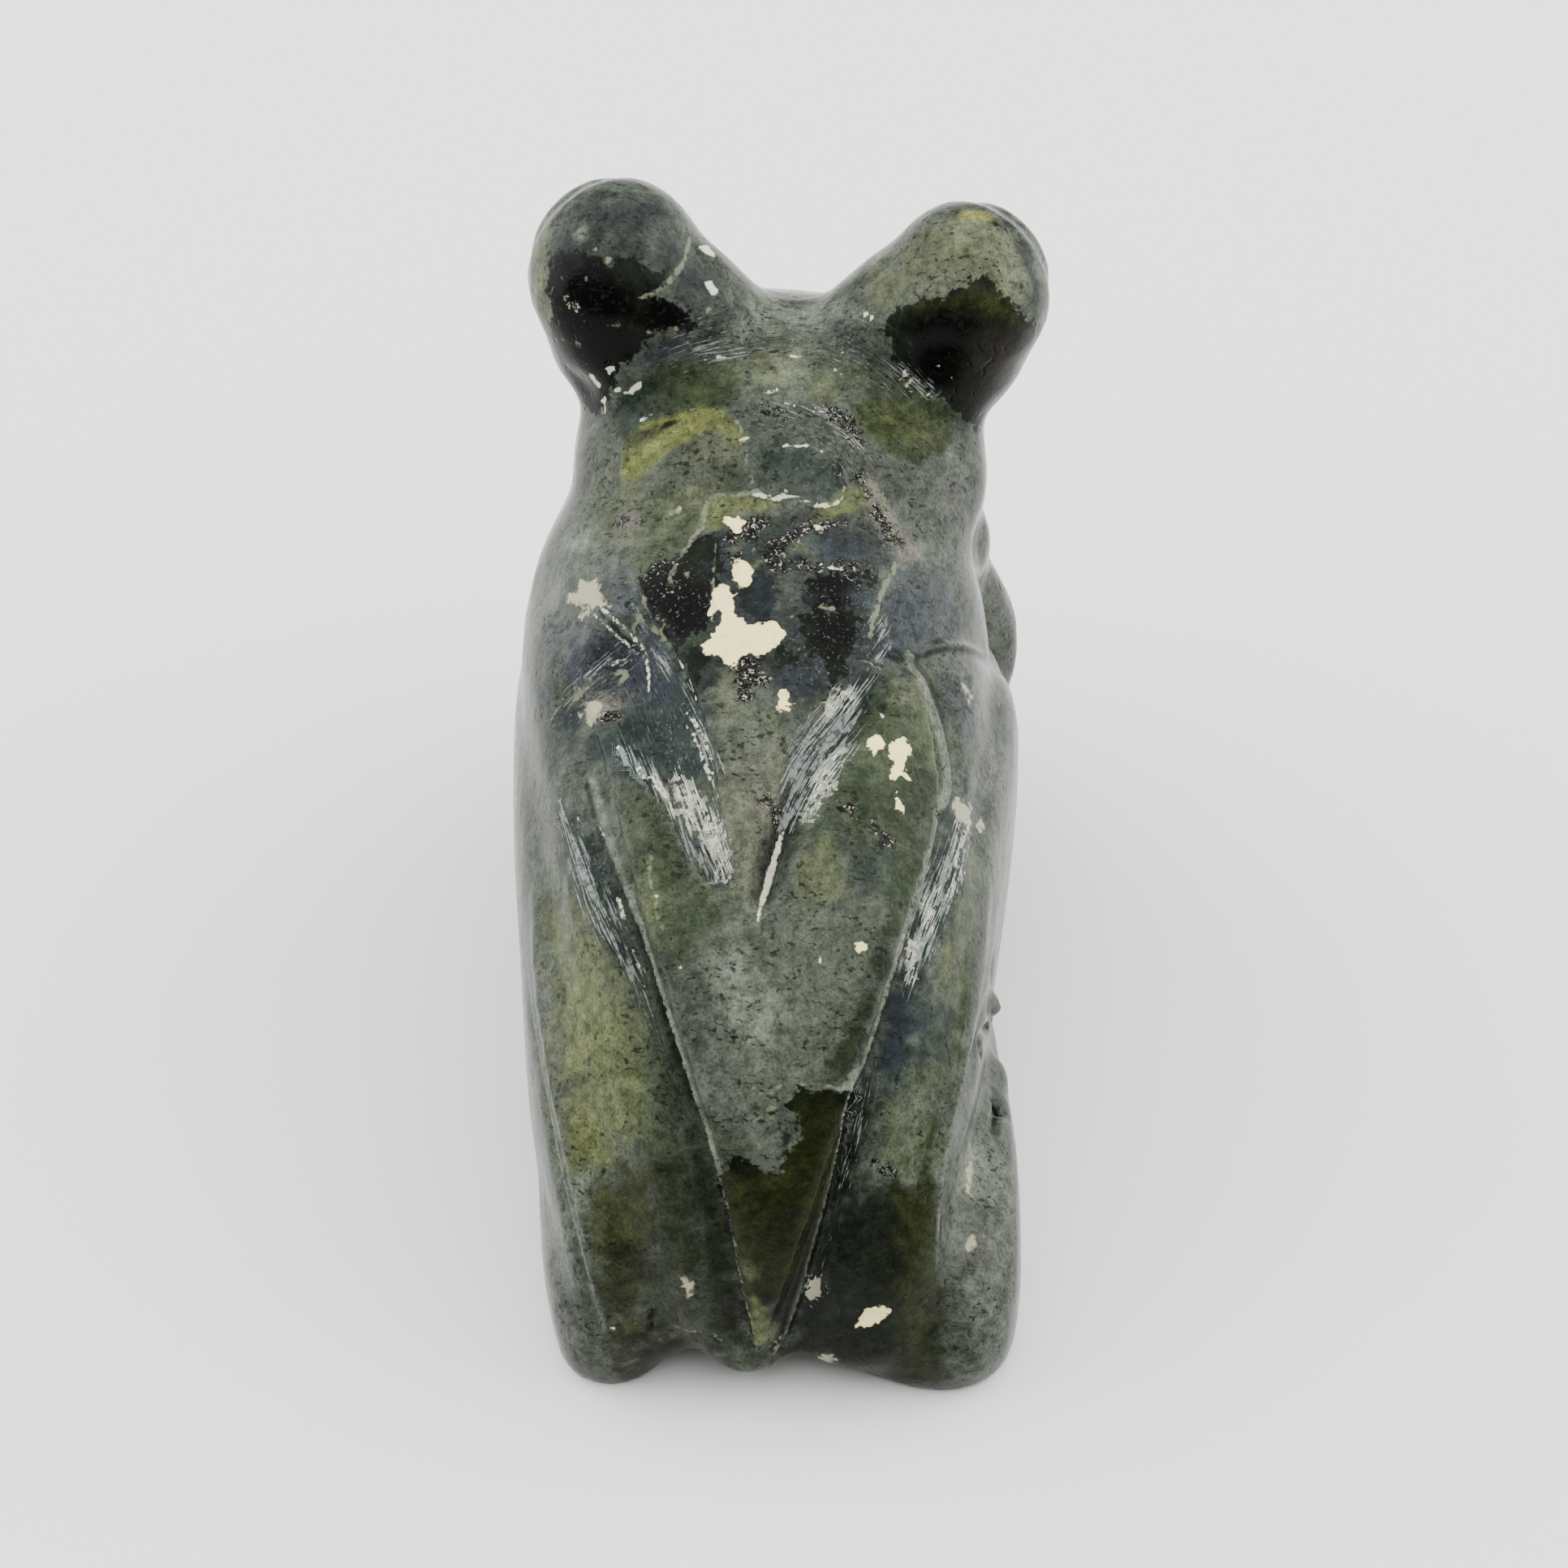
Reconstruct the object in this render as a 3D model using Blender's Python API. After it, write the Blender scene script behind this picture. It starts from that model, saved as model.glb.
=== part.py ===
"""A frog carved in the round from one block of serpentine, sitting with its legs folded.

The frog faces -Y and its own right side is -X. The origin is on the ground, under the middle of its box.
The stone is first blocked out as rounded masses, fused into one, then gouged and creased line by line.
"""
import math

import bmesh
import bpy
import numpy as np
from mathutils import Vector

# The block that the frog is cut from, in metres. Its haunches and an eye stand up to a millimetre proud of it.
LENGTH = 0.085
WIDTH = 0.042
HEIGHT = 0.065

# Each eye is a ball on the end of a short thick stalk, drawn out along the frog's length by this much.
EYE_RADIUS = {"left": 0.0074, "right": 0.0070}
EYE_LONGER = 1.2

# Gouges and stepped edges, in metres. A step drops by its depth within its wall and rises again over its run.
SCOOP_DEPTH = 0.0018
STEP_DEPTH = 0.0018
STEP_WALL = 0.0005
STEP_RUN = 0.0042
CREASE_DEPTH = 0.0006
SHIN_DEPTH = 0.0007
SHIN_RUN = 0.0055
NECK_DEPTH = 0.0010
NECK_HALF_WIDTH = 0.0060

# The eyelid is a ring round the way the eye looks: its angle from that and its half width, in degrees.
LID_DEPTH = 0.0004
LID_TURN = 52
LID_SPREAD = 9
LID_REACH = 1.5
LID_FADE = 0.2
GAZE = {"out": 0.6, "ahead": 0.8, "up": 0.05}

# The snout, in metres.
MOUTH_HALF_WIDTH = 0.0009
MOUTH_DEPTH = 0.0010
NOSTRIL_RADIUS = 0.0011
NOSTRIL_DEPTH = 0.0007

# The gaps between toes and between fingers, in metres. Fingers are cut only below the top of the hand.
TOE_GAP = 0.0014
TOE_DEPTH = 0.0014
FINGER_GAP = 0.0012
FINGER_DEPTH = 0.0009
FINGER_SPREAD = 1.06
HAND_TOP = 0.0085
HAND_FADE = 0.0025

# How much of a line's start and end a cut takes to run out.
SCOOP_FADE = (0.15, 0.15)
STEP_FADE = (0.1, 0.05)
SHIN_FADE = (0.3, 0.3)
NECK_FADE = (0.2, 0.2)
MOUTH_FADE = (0.25, 0)
TOE_FADE = (0, 0.4)
FINGER_FADE = (0.5, 0)

# How finely the stone is modelled.
GRAIN = 0.00055
FACETS = 9200
RING_SIDES = 32
RINGS_A_SPAN = 5
BALL_RINGS = 20
RUBBING = 40
RUB_FACTOR = 0.5
END_TURNS = [math.radians(turn) for turn in (30, 55, 75)]

# The carving on the back is drawn on a sheet that leans against it, at this angle from upright.
SHEET_LEAN = math.radians(43)
SHEET_RISE = LENGTH * math.sin(SHEET_LEAN) + HEIGHT * math.cos(SHEET_LEAN)

# A cut runs out where the stone turns away from the sheet it is drawn on: the cosine where it is full again.
FACING = 0.25

SIDES = {"left": -1, "right": 1}


def at(across, along, up):
    """A place, from percentages: of the half width to the frog's right, of the length from the tail, of height."""
    return Vector((-across / 100 * WIDTH / 2, (0.5 - along / 100) * LENGTH, up / 100 * HEIGHT))


def clear_scene():
    for obj in list(bpy.data.objects):
        bpy.data.objects.remove(obj)


def through(rows, spans):
    """A smooth curve through all the rows of numbers, as rows, with that many to each span."""
    rows = np.array(rows, float)
    padded = np.vstack([2 * rows[0] - rows[1], rows, 2 * rows[-1] - rows[-2]])
    made = []
    for a, b, c, d in zip(padded, padded[1:], padded[2:], padded[3:]):
        for t in np.linspace(0, 1, spans, endpoint=False):
            bend = (2 * a - 5 * b + 4 * c - d) * t**2 + (3 * b - a - 3 * c + d) * t**3
            made.append(b + 0.5 * ((c - a) * t + bend))
    made.append(rows[-1])
    return np.array(made)


def rounded(angle, squareness):
    """A point of a unit circle whose sides are flattened, up to a square at 1."""
    c, s = math.cos(angle), math.sin(angle)
    power = 1 - squareness
    return math.copysign(abs(c) ** power, c), math.copysign(abs(s) ** power, s)


def sizes_of(row):
    """The half width and half height of a station, in metres."""
    return row[3] / 100 * WIDTH / 2, row[4] / 100 * HEIGHT


def mass(bm, stations, squareness=0.0):
    """Adds one closed form with round ends, through stations of (across, along, up, half width, half height)."""
    rows = through(stations, RINGS_A_SPAN)
    centres = [at(*row[:3]) for row in rows]
    first, last = rows[0], rows[-1]
    back, ahead = (centres[0] - centres[1]).normalized(), (centres[-1] - centres[-2]).normalized()
    sizes = [sizes_of(row) for row in rows]
    for turn in END_TURNS:
        reach, shrink = math.sin(turn), math.cos(turn)
        centres.insert(0, at(*first[:3]) + back * (reach * min(sizes_of(first))))
        centres.append(at(*last[:3]) + ahead * (reach * min(sizes_of(last))))
        sizes.insert(0, tuple(shrink * size for size in sizes_of(first)))
        sizes.append(tuple(shrink * size for size in sizes_of(last)))
    rings = []
    for i, (half_width, half_height) in enumerate(sizes):
        heading = centres[min(i + 1, len(centres) - 1)] - centres[max(i - 1, 0)]
        side = heading.cross(Vector((0, 0, 1))).normalized()
        over = side.cross(heading).normalized()
        ring = []
        for k in range(RING_SIDES):
            c, s = rounded(2 * math.pi * k / RING_SIDES, squareness)
            ring.append(bm.verts.new(centres[i] + side * (half_width * c) + over * (half_height * s)))
        rings.append(ring)
    for lower, upper in zip(rings, rings[1:]):
        for k in range(RING_SIDES):
            j = (k + 1) % RING_SIDES
            bm.faces.new((lower[k], lower[j], upper[j], upper[k]))
    bm.faces.new(rings[0])
    bm.faces.new(rings[-1][::-1])


def eyeball(bm, place, radius):
    made = bmesh.ops.create_uvsphere(bm, u_segments=RING_SIDES, v_segments=BALL_RINGS, radius=radius)
    bmesh.ops.scale(bm, verts=made["verts"], vec=Vector((1, EYE_LONGER, 1)))
    bmesh.ops.translate(bm, verts=made["verts"], vec=place)


def on(side, stations):
    """Stations given for the right side, put on the side that is wanted."""
    return [(side * row[0], *row[1:]) for row in stations]


# The masses, from tail to snout or from the top down. A station is (across, along, up, half width, half height),
# in percentages of the block, and a squareness of 0 gives a round section.
SQUARENESS = {"trunk": 0.22, "belly": 0.15, "head": 0.12, "haunch": 0.42, "foot": 0.4, "hand": 0.3}
TRUNK = [
    (1, 3, 8, 18, 4),
    (0, 8, 15, 42, 11),
    (0, 19, 25, 66, 20),
    (0, 35, 35, 80, 26.5),
    (-5, 52, 41, 89, 29),
    (-7.5, 65, 46, 92, 29),
    (-6, 76, 49, 82, 26),
]
BELLY = [
    (0, 9, 11, 56, 9),
    (0, 20, 14, 76, 15),
    (0, 47, 20, 86, 23),
    (0, 70, 26, 80, 29),
    (0, 79, 28, 68, 30),
]
HEAD = [
    (-2, 66, 61, 74, 15),
    (-1, 74, 65, 81, 18.5),
    (1, 80, 65, 80, 19.2),
    (3, 85, 61.5, 77, 18),
    (3, 88.5, 58.8, 71, 15.5),
    (3, 91, 57, 64, 14),
]
HAUNCH = {
    "left": [
        (40, 7, 8, 25, 7),
        (44, 12, 14, 30, 12),
        (51, 23, 21, 35, 17),
        (59, 38, 26, 35.5, 20),
        (64, 53, 31, 37, 20),
        (67, 64, 35, 36, 17),
        (66, 71, 38, 31, 12),
    ],
    "right": [
        (40, 7, 8, 28, 7),
        (44, 12, 14, 31, 12),
        (48, 23, 21, 36, 17),
        (53.5, 38, 26, 36, 20),
        (59.5, 53, 29, 36.5, 20),
        (62.5, 62, 32, 35.5, 18),
        (61, 68, 34, 31, 13),
    ],
}
FOOT = {
    "left": [
        (51, 6.7, 4, 22, 8),
        (53, 13, 6, 26, 12),
        (59, 25, 7, 26, 13),
        (66, 41, 4.5, 25, 8.5),
        (70, 56, 2.5, 22, 6),
    ],
    "right": [
        (62, 8.5, 4, 38, 8),
        (67, 13, 6, 35, 12),
        (69.5, 25, 7, 30.5, 13),
        (68, 41, 4.5, 25, 8.5),
        (69, 56, 2.5, 22, 6),
    ],
}
UPPER_ARM = {
    "left": [(54, 76, 54, 26, 10), (61, 75, 44, 26, 11), (64, 74, 34, 22, 9)],
    "right": [(52, 77, 54, 24, 10), (56, 77, 46, 25, 10), (74, 79, 34.5, 22, 8.5)],
}
FOREARM = {
    "left": [(65, 75, 33, 22, 9), (63, 80, 19, 21, 9), (60, 84, 6, 20, 7)],
    "right": [(74, 79.5, 34, 22, 9), (66, 81, 19, 21, 9), (61, 84, 6, 20, 7)],
}
HAND = [(60, 82, 3, 21, 8), (60, 88, 2.5, 25, 6.5), (58, 92.5, 2, 24, 5)]
EYE = {"left": (-65, 83.3, 87.8), "right": (71, 82.3, 87.3)}

# A stalk runs from the middle of the head out to its eye: (share of the way across, along, up, half width and
# half height in eye radii).
HEAD_MIDDLE = 2
STALK = [(0.3, 79, 64, 1.35, 1.4), (0.56, 81, 75, 1.12, 1.2), (0.88, 82, 83, 1.14, 1.12), (1, 82.8, 86.2, 0.95, 0.95)]


def stalk_to(across, radius):
    """The stations of the stalk whose eye of that radius is that far across."""
    wide, tall = 100 * radius / (WIDTH / 2), 100 * radius / HEIGHT
    return [
        (HEAD_MIDDLE + share * (across - HEAD_MIDDLE), along, up, half_width * wide, half_height * tall)
        for share, along, up, half_width, half_height in STALK
    ]


def block_out():
    """The rough forms, overlapping, in one mesh."""
    bm = bmesh.new()
    mass(bm, TRUNK, SQUARENESS["trunk"])
    mass(bm, BELLY, SQUARENESS["belly"])
    mass(bm, HEAD, SQUARENESS["head"])
    for name, side in SIDES.items():
        mass(bm, on(side, HAUNCH[name]), SQUARENESS["haunch"])
        mass(bm, on(side, FOOT[name]), SQUARENESS["foot"])
        mass(bm, on(side, UPPER_ARM[name]))
        mass(bm, on(side, FOREARM[name]))
        mass(bm, on(side, HAND), SQUARENESS["hand"])
        eyeball(bm, at(*EYE[name]), EYE_RADIUS[name])
        mass(bm, stalk_to(EYE[name][0], EYE_RADIUS[name]))
    bmesh.ops.recalc_face_normals(bm, faces=bm.faces)
    mesh = bpy.data.meshes.new("stone")
    bm.to_mesh(mesh)
    bm.free()
    obj = bpy.data.objects.new("frog_carving", mesh)
    bpy.context.scene.collection.objects.link(obj)
    return obj


def baked(obj):
    """Applies the modifiers of an object and clears them."""
    graph = bpy.context.evaluated_depsgraph_get()
    rough = obj.data
    obj.data = bpy.data.meshes.new_from_object(obj.evaluated_get(graph))
    obj.modifiers.clear()
    bpy.data.meshes.remove(rough)


def fuse(obj):
    """Makes the masses one stone and rubs it down."""
    remesh = obj.modifiers.new("one stone", "REMESH")
    remesh.mode = "VOXEL"
    remesh.voxel_size = GRAIN
    smooth = obj.modifiers.new("rubbed down", "SMOOTH")
    smooth.factor = RUB_FACTOR
    smooth.iterations = RUBBING
    baked(obj)


class Surface:
    """The points of the stone with their normals, and the sheets that carving is drawn on."""

    def __init__(self, mesh):
        self.mesh = mesh
        self.places = np.empty((len(mesh.vertices), 3), np.float32)
        self.normals = np.empty((len(mesh.vertices), 3), np.float32)
        self.read()

    def read(self):
        self.mesh.vertices.foreach_get("co", self.places.ravel())
        self.mesh.vertex_normals.foreach_get("vector", self.normals.ravel())

    def on_back(self):
        """Across and rise on the sheet that leans against the back, and how squarely each point faces it."""
        toward_tail = LENGTH / 2 - self.places[:, 1]
        rise = toward_tail * math.sin(SHEET_LEAN) + self.places[:, 2] * math.cos(SHEET_LEAN)
        facing = self.normals[:, 1] * math.cos(SHEET_LEAN) + self.normals[:, 2] * math.sin(SHEET_LEAN)
        return np.column_stack([-self.places[:, 0], rise]), facing

    def on_side(self, side):
        """Along and up, and how squarely each point faces that side."""
        return np.column_stack([LENGTH / 2 - self.places[:, 1], self.places[:, 2]]), -side * self.normals[:, 0]

    def on_top(self):
        """Across and along, and how squarely each point low enough to be on a hand faces up or forward."""
        low = eased((HAND_TOP - self.places[:, 2]) / HAND_FADE)
        facing = np.maximum(self.normals[:, 2], -self.normals[:, 1])
        return np.column_stack([-self.places[:, 0], LENGTH / 2 - self.places[:, 1]]), facing * low

    def cut(self, depths):
        """Sinks each point by its depth, in metres, and takes the normals afresh."""
        self.places -= self.normals * depths[:, None].astype(np.float32)
        self.mesh.vertices.foreach_set("co", self.places.ravel())
        self.mesh.update()
        self.read()


def nearest(points, line):
    """How far each point is from a line, on which side of it (+1 is to its left), and how far along, from 0 to 1."""
    far = np.full(len(points), np.inf)
    side = np.zeros(len(points))
    along = np.zeros(len(points))
    for i, (start, end) in enumerate(zip(line, line[1:])):
        span = end - start
        reach = np.clip((points - start) @ span / (span @ span), 0, 1)
        gap = points - start - reach[:, None] * span
        distance = np.hypot(gap[:, 0], gap[:, 1])
        closer = distance < far
        far[closer] = distance[closer]
        side[closer] = np.sign(span[0] * gap[closer, 1] - span[1] * gap[closer, 0])
        along[closer] = (i + reach[closer]) / (len(line) - 1)
    return far, side, along


def eased(share):
    """A share from 0 to 1 with soft ends."""
    share = np.clip(share, 0, 1)
    return share * share * (3 - 2 * share)


def faded(along, start, end):
    """1 along a line, running out to 0 over these shares of it at its start and end."""
    fade = np.ones(len(along))
    if start:
        fade *= eased(along / start)
    if end:
        fade *= eased((1 - along) / end)
    return fade


def back_line(points):
    """A smooth line on the leaning sheet, in metres, from (across, rise) percentages."""
    return through(points, RINGS_A_SPAN) * (WIDTH / 200, SHEET_RISE / 100)


def side_line(points):
    """A smooth line on a side, in metres, from (along, up) percentages."""
    return through(points, RINGS_A_SPAN) * (LENGTH / 100, HEIGHT / 100)


def top_line(points):
    """A straight line seen from above, in metres, from (across, along) percentages."""
    return np.array(points, float) * (WIDTH / 200, LENGTH / 100)


def scoop(stone, sheet, line, half_widths, depth, fade=SCOOP_FADE):
    """A round-bottomed gouge whose half width runs smoothly through these values, in metres."""
    points, facing = sheet
    far, _, along = nearest(points, line)
    half_width = np.interp(along, np.linspace(0, 1, len(half_widths)), half_widths)
    hollow = eased(1 - far / half_width)
    stone.cut(depth * hollow * faded(along, *fade) * eased(facing / FACING))


def step(stone, sheet, line, low_side, depth, run, fade=STEP_FADE):
    """A crisp edge: the stone on the low side drops by the depth, and rises again over the run."""
    points, facing = sheet
    far, side, along = nearest(points, line)
    signed = far * side * low_side
    drop = np.where(signed > 0, eased(1 - signed / run), eased(1 + signed / STEP_WALL))
    stone.cut(depth * drop * faded(along, *fade) * eased(facing / FACING))


def pit(stone, centre, radius, depth):
    """A round dimple about a place."""
    far = np.linalg.norm(stone.places - np.array(centre), axis=1)
    stone.cut(depth * eased(1 - far / radius))


def lid(stone, centre, radius, side):
    """A ring cut round an eyeball, about the way it looks."""
    gaze = Vector((-side * GAZE["out"], -GAZE["ahead"], GAZE["up"])).normalized()
    out = stone.places - np.array(centre)
    far = np.linalg.norm(out, axis=1)
    turn = np.degrees(np.arccos(np.clip(out @ np.array(gaze) / far, -1, 1)))
    ring = eased(1 - np.abs(turn - LID_TURN) / LID_SPREAD)
    stone.cut(LID_DEPTH * ring * eased((LID_REACH - far / radius) / LID_FADE))


# The lines of the carving. On the back they are (across, rise), on the sides (along, up), all percentages.
NECK = [(-80, 74), (-35, 76), (3, 76.5), (43, 75.5), (80, 74)]
KITE = {
    "left": [(-76, 55), (-61, 47.5), (-42, 36), (-22, 25), (-7, 14), (1, 5)],
    "right": [(57, 57), (68, 46), (57, 36.5), (39, 24), (22, 13), (8, 4.5)],
}
SCOOPS = {
    "left": [(-62, 58), (-52, 55.5), (-38, 49.5), (-27, 45), (-20, 42), (-12, 38)],
    "right": [(48, 54.5), (27, 50), (14, 46), (5, 41), (0, 36)],
}
SCOOP_HALF_WIDTHS = {
    "left": (0.0034, 0.0048, 0.0052, 0.0036, 0.0026, 0.0012),
    "right": (0.0026, 0.0036, 0.0034, 0.0022, 0.0008),
}
KNEE = {
    "left": [(-99, 60), (-88, 59), (-74, 56)],
    "right": [(46, 56), (58, 57), (74, 57.5), (97, 55)],
}
SHIN = {
    "left": [(-88, 42), (-87, 33), (-79, 25), (-69, 18), (-60, 11), (-54, 6)],
    "right": [(88, 42), (87, 33), (80, 25), (75, 17), (74, 9)],
}
MOUTH = [(74, 62.5), (80, 59.5), (87, 57), (95, 55.5), (104, 55)]
NOSTRIL = (10, 98.5, 63)

# Where the gaps start along the foot and across the hand, and how each runs on from there.
TOE_GAPS = (33, 44, 54)
TOE_GAP_LINE = [(0, -5), (1.5, 6), (4, 13)]
FINGER_GAPS = (48, 60, 72)
FINGER_REACH = (84, 101)


def carve(frog):
    """Cuts every line of the carving, in turn, into the rubbed stone."""
    stone = Surface(frog.data)
    scoop(stone, stone.on_back(), back_line(NECK), (NECK_HALF_WIDTH,), NECK_DEPTH, NECK_FADE)
    for name, side in SIDES.items():
        scoop(stone, stone.on_back(), back_line(SCOOPS[name]), SCOOP_HALF_WIDTHS[name], SCOOP_DEPTH)
        step(stone, stone.on_back(), back_line(KITE[name]), side, STEP_DEPTH, STEP_RUN)
        step(stone, stone.on_back(), back_line(KNEE[name]), 1, CREASE_DEPTH, STEP_RUN)
        step(stone, stone.on_back(), back_line(SHIN[name]), side, SHIN_DEPTH, SHIN_RUN, SHIN_FADE)
        pit(stone, at(HEAD[-1][0] + side * NOSTRIL[0], *NOSTRIL[1:]), NOSTRIL_RADIUS, NOSTRIL_DEPTH)
        lid(stone, at(*EYE[name]), EYE_RADIUS[name], side)
        for start in TOE_GAPS:
            gap = side_line([(start + along, up) for along, up in TOE_GAP_LINE])
            scoop(stone, stone.on_side(side), gap, (TOE_GAP,), TOE_DEPTH, TOE_FADE)
        for start in FINGER_GAPS:
            gap = top_line([(side * start, FINGER_REACH[0]), (side * start * FINGER_SPREAD, FINGER_REACH[1])])
            scoop(stone, stone.on_top(), gap, (FINGER_GAP,), FINGER_DEPTH, FINGER_FADE)
    # The mouth runs round the whole snout, whichever way the stone faces there.
    points, _ = stone.on_side(SIDES["left"])
    scoop(stone, (points, np.ones(len(points))), side_line(MOUTH), (MOUTH_HALF_WIDTH,), MOUTH_DEPTH, MOUTH_FADE)


def thin_out(obj):
    """Leaves only as many facets as the form needs."""
    obj.data.calc_loop_triangles()
    thin = obj.modifiers.new("facets", "DECIMATE")
    thin.ratio = FACETS / len(obj.data.loop_triangles)
    baked(obj)


def saw_flat(obj):
    """Saws the underside flat at the ground and centres the carving over its origin."""
    bm = bmesh.new()
    bm.from_mesh(obj.data)
    everything = bm.verts[:] + bm.edges[:] + bm.faces[:]
    bmesh.ops.bisect_plane(bm, geom=everything, plane_co=(0, 0, 0), plane_no=(0, 0, 1), clear_inner=True)
    rim = [edge for edge in bm.edges if edge.is_boundary]
    bmesh.ops.triangle_fill(bm, edges=rim, use_dissolve=False, use_beauty=True)
    bmesh.ops.recalc_face_normals(bm, faces=bm.faces)
    for axis in (0, 1):
        spread = [vert.co[axis] for vert in bm.verts]
        middle = (min(spread) + max(spread)) / 2
        for vert in bm.verts:
            vert.co[axis] -= middle
    bm.to_mesh(obj.data)
    bm.free()


def serpentine():
    stone = bpy.data.materials.new("polished serpentine")
    stone.use_nodes = True
    shader = stone.node_tree.nodes["Principled BSDF"]
    shader.inputs["Base Color"].default_value = (0.075, 0.095, 0.060, 1)
    shader.inputs["Roughness"].default_value = 0.28
    shader.inputs["Metallic"].default_value = 0.0
    return stone


def main():
    clear_scene()
    frog = block_out()
    fuse(frog)
    carve(frog)
    thin_out(frog)
    saw_flat(frog)
    frog.data.materials.append(serpentine())


main()
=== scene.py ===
import math

import bpy
import numpy as np
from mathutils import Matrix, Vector, noise
from mathutils.bvhtree import BVHTree


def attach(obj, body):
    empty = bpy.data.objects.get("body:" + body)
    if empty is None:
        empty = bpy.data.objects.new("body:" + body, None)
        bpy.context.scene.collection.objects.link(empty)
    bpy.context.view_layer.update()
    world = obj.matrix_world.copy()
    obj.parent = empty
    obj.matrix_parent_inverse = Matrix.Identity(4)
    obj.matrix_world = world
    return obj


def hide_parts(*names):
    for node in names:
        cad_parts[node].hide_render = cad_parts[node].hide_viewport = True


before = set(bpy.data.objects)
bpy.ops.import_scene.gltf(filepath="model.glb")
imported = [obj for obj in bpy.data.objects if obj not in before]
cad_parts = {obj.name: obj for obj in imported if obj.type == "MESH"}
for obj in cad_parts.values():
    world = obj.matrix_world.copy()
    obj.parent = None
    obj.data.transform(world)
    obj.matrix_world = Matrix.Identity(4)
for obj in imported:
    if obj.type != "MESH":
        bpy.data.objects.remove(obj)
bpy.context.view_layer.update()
bpy.ops.object.select_all(action="DESELECT")

# The camera stands behind the frog and above it, with a long lens, as the photograph was taken.
# Places on the stone are given further down as pixels of that photograph, in this camera's frame.
PHOTO_SIDE = 1932
PIXELS_A_METRE = 15250.0
PIXELS_A_MM = PIXELS_A_METRE / 1000
CAMERA_DISTANCE = 0.30
aim = Vector((0, 0, 0.030))
aim_pixel = (948.0, 925.0)
azimuth, elevation = math.radians(182.5), math.radians(43.0)
towards_camera = Vector((
    math.sin(azimuth) * math.cos(elevation),
    -math.cos(azimuth) * math.cos(elevation),
    math.sin(elevation),
))
bpy.ops.object.camera_add(location=aim + towards_camera * CAMERA_DISTANCE)
camera = bpy.context.object
camera.name = "camera"
camera.rotation_mode = "QUATERNION"
camera.rotation_quaternion = (-towards_camera).to_track_quat("-Z", "Y")
focal_pixels = PIXELS_A_METRE * CAMERA_DISTANCE
camera.data.sensor_width = 36
camera.data.lens = camera.data.sensor_width * focal_pixels / PHOTO_SIDE
camera.data.shift_x = -(aim_pixel[0] - PHOTO_SIDE / 2) / PHOTO_SIDE
camera.data.shift_y = (aim_pixel[1] - PHOTO_SIDE / 2) / PHOTO_SIDE
camera.data.clip_start = 0.01
bpy.context.scene.camera = camera

# The frog is one lump of serpentine, sawn, filed to shape and rubbed down, so it is one closed skin.
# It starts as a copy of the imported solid, joined up, made finer and rubbed smooth, before any edge is cut.
SKIN_GRAIN = 0.00052
RUB_PASSES = 4
MERGE_DISTANCE = 0.00001

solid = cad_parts["frog_carving"]
stone = bpy.data.objects.new("frog_stone", solid.data.copy())
bpy.context.scene.collection.objects.link(stone)
stone.data.materials.clear()
bpy.context.view_layer.objects.active = stone
stone.select_set(True)
bpy.ops.object.mode_set(mode="EDIT")
bpy.ops.mesh.select_all(action="SELECT")
bpy.ops.mesh.remove_doubles(threshold=MERGE_DISTANCE)
bpy.ops.object.mode_set(mode="OBJECT")
finer = stone.modifiers.new("finer skin", "REMESH")
finer.mode = "VOXEL"
finer.voxel_size = SKIN_GRAIN
bpy.ops.object.modifier_apply(modifier=finer.name)
rubbed = stone.modifiers.new("rubbed down", "SMOOTH")
rubbed.factor = 0.5
rubbed.iterations = RUB_PASSES
bpy.ops.object.modifier_apply(modifier=rubbed.name)
skin_tree = BVHTree.FromObject(stone, bpy.context.evaluated_depsgraph_get())


def touch(pixels):
    """Where the camera sees these pixels of the photograph on the stone."""
    touched = []
    for x, y in pixels:
        ray = Vector(((x - aim_pixel[0]) / focal_pixels, -(y - aim_pixel[1]) / focal_pixels, -1))
        ray.rotate(camera.rotation_quaternion)
        hit = skin_tree.ray_cast(camera.location, ray.normalized())[0]
        if hit is None:
            raise ValueError(f"the stone doesn't reach pixel {x}, {y}")
        touched.append(hit[:])
    return np.array(touched)


def through(points, spans=4):
    """A smooth curve through all the points, with that many steps to each span."""
    points = np.array(points, float)
    padded = np.vstack([2 * points[0] - points[1], points, 2 * points[-1] - points[-2]])
    made = []
    for a, b, c, d in zip(padded, padded[1:], padded[2:], padded[3:]):
        for t in np.linspace(0, 1, spans, endpoint=False):
            bend = (2 * a - 5 * b + 4 * c - d) * t**2 + (3 * b - a - 3 * c + d) * t**3
            made.append(b + 0.5 * ((c - a) * t + bend))
    made.append(points[-1])
    return np.array(made)


def traced(*pixels):
    """A smooth line on the stone that shows through these pixels."""
    return touch(through(pixels))


# The filed edges and grooves, as pixels of the photograph from the head down. Left and right are its own.
kite_left = traced(
    (728, 968), (745, 1030), (762, 1078), (778, 1120), (793, 1158), (808, 1203), (823, 1250), (838, 1295),
    (853, 1342), (868, 1385), (879, 1425), (890, 1465), (899, 1505), (908, 1555), (918, 1605), (930, 1658),
)
kite_right = traced(
    (1130, 813), (1143, 845), (1156, 880), (1166, 915), (1172, 955), (1170, 985), (1156, 1010), (1147, 1050),
    (1135, 1100), (1117, 1150), (1100, 1200), (1084, 1250), (1067, 1300), (1048, 1350), (1034, 1400),
    (1024, 1450), (1012, 1500), (998, 1550), (984, 1600), (971, 1638), (962, 1656),
)
scoop_left_inner = traced(
    (783, 727), (812, 765), (838, 810), (862, 865), (879, 920), (888, 990), (897, 1085),
)
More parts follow.
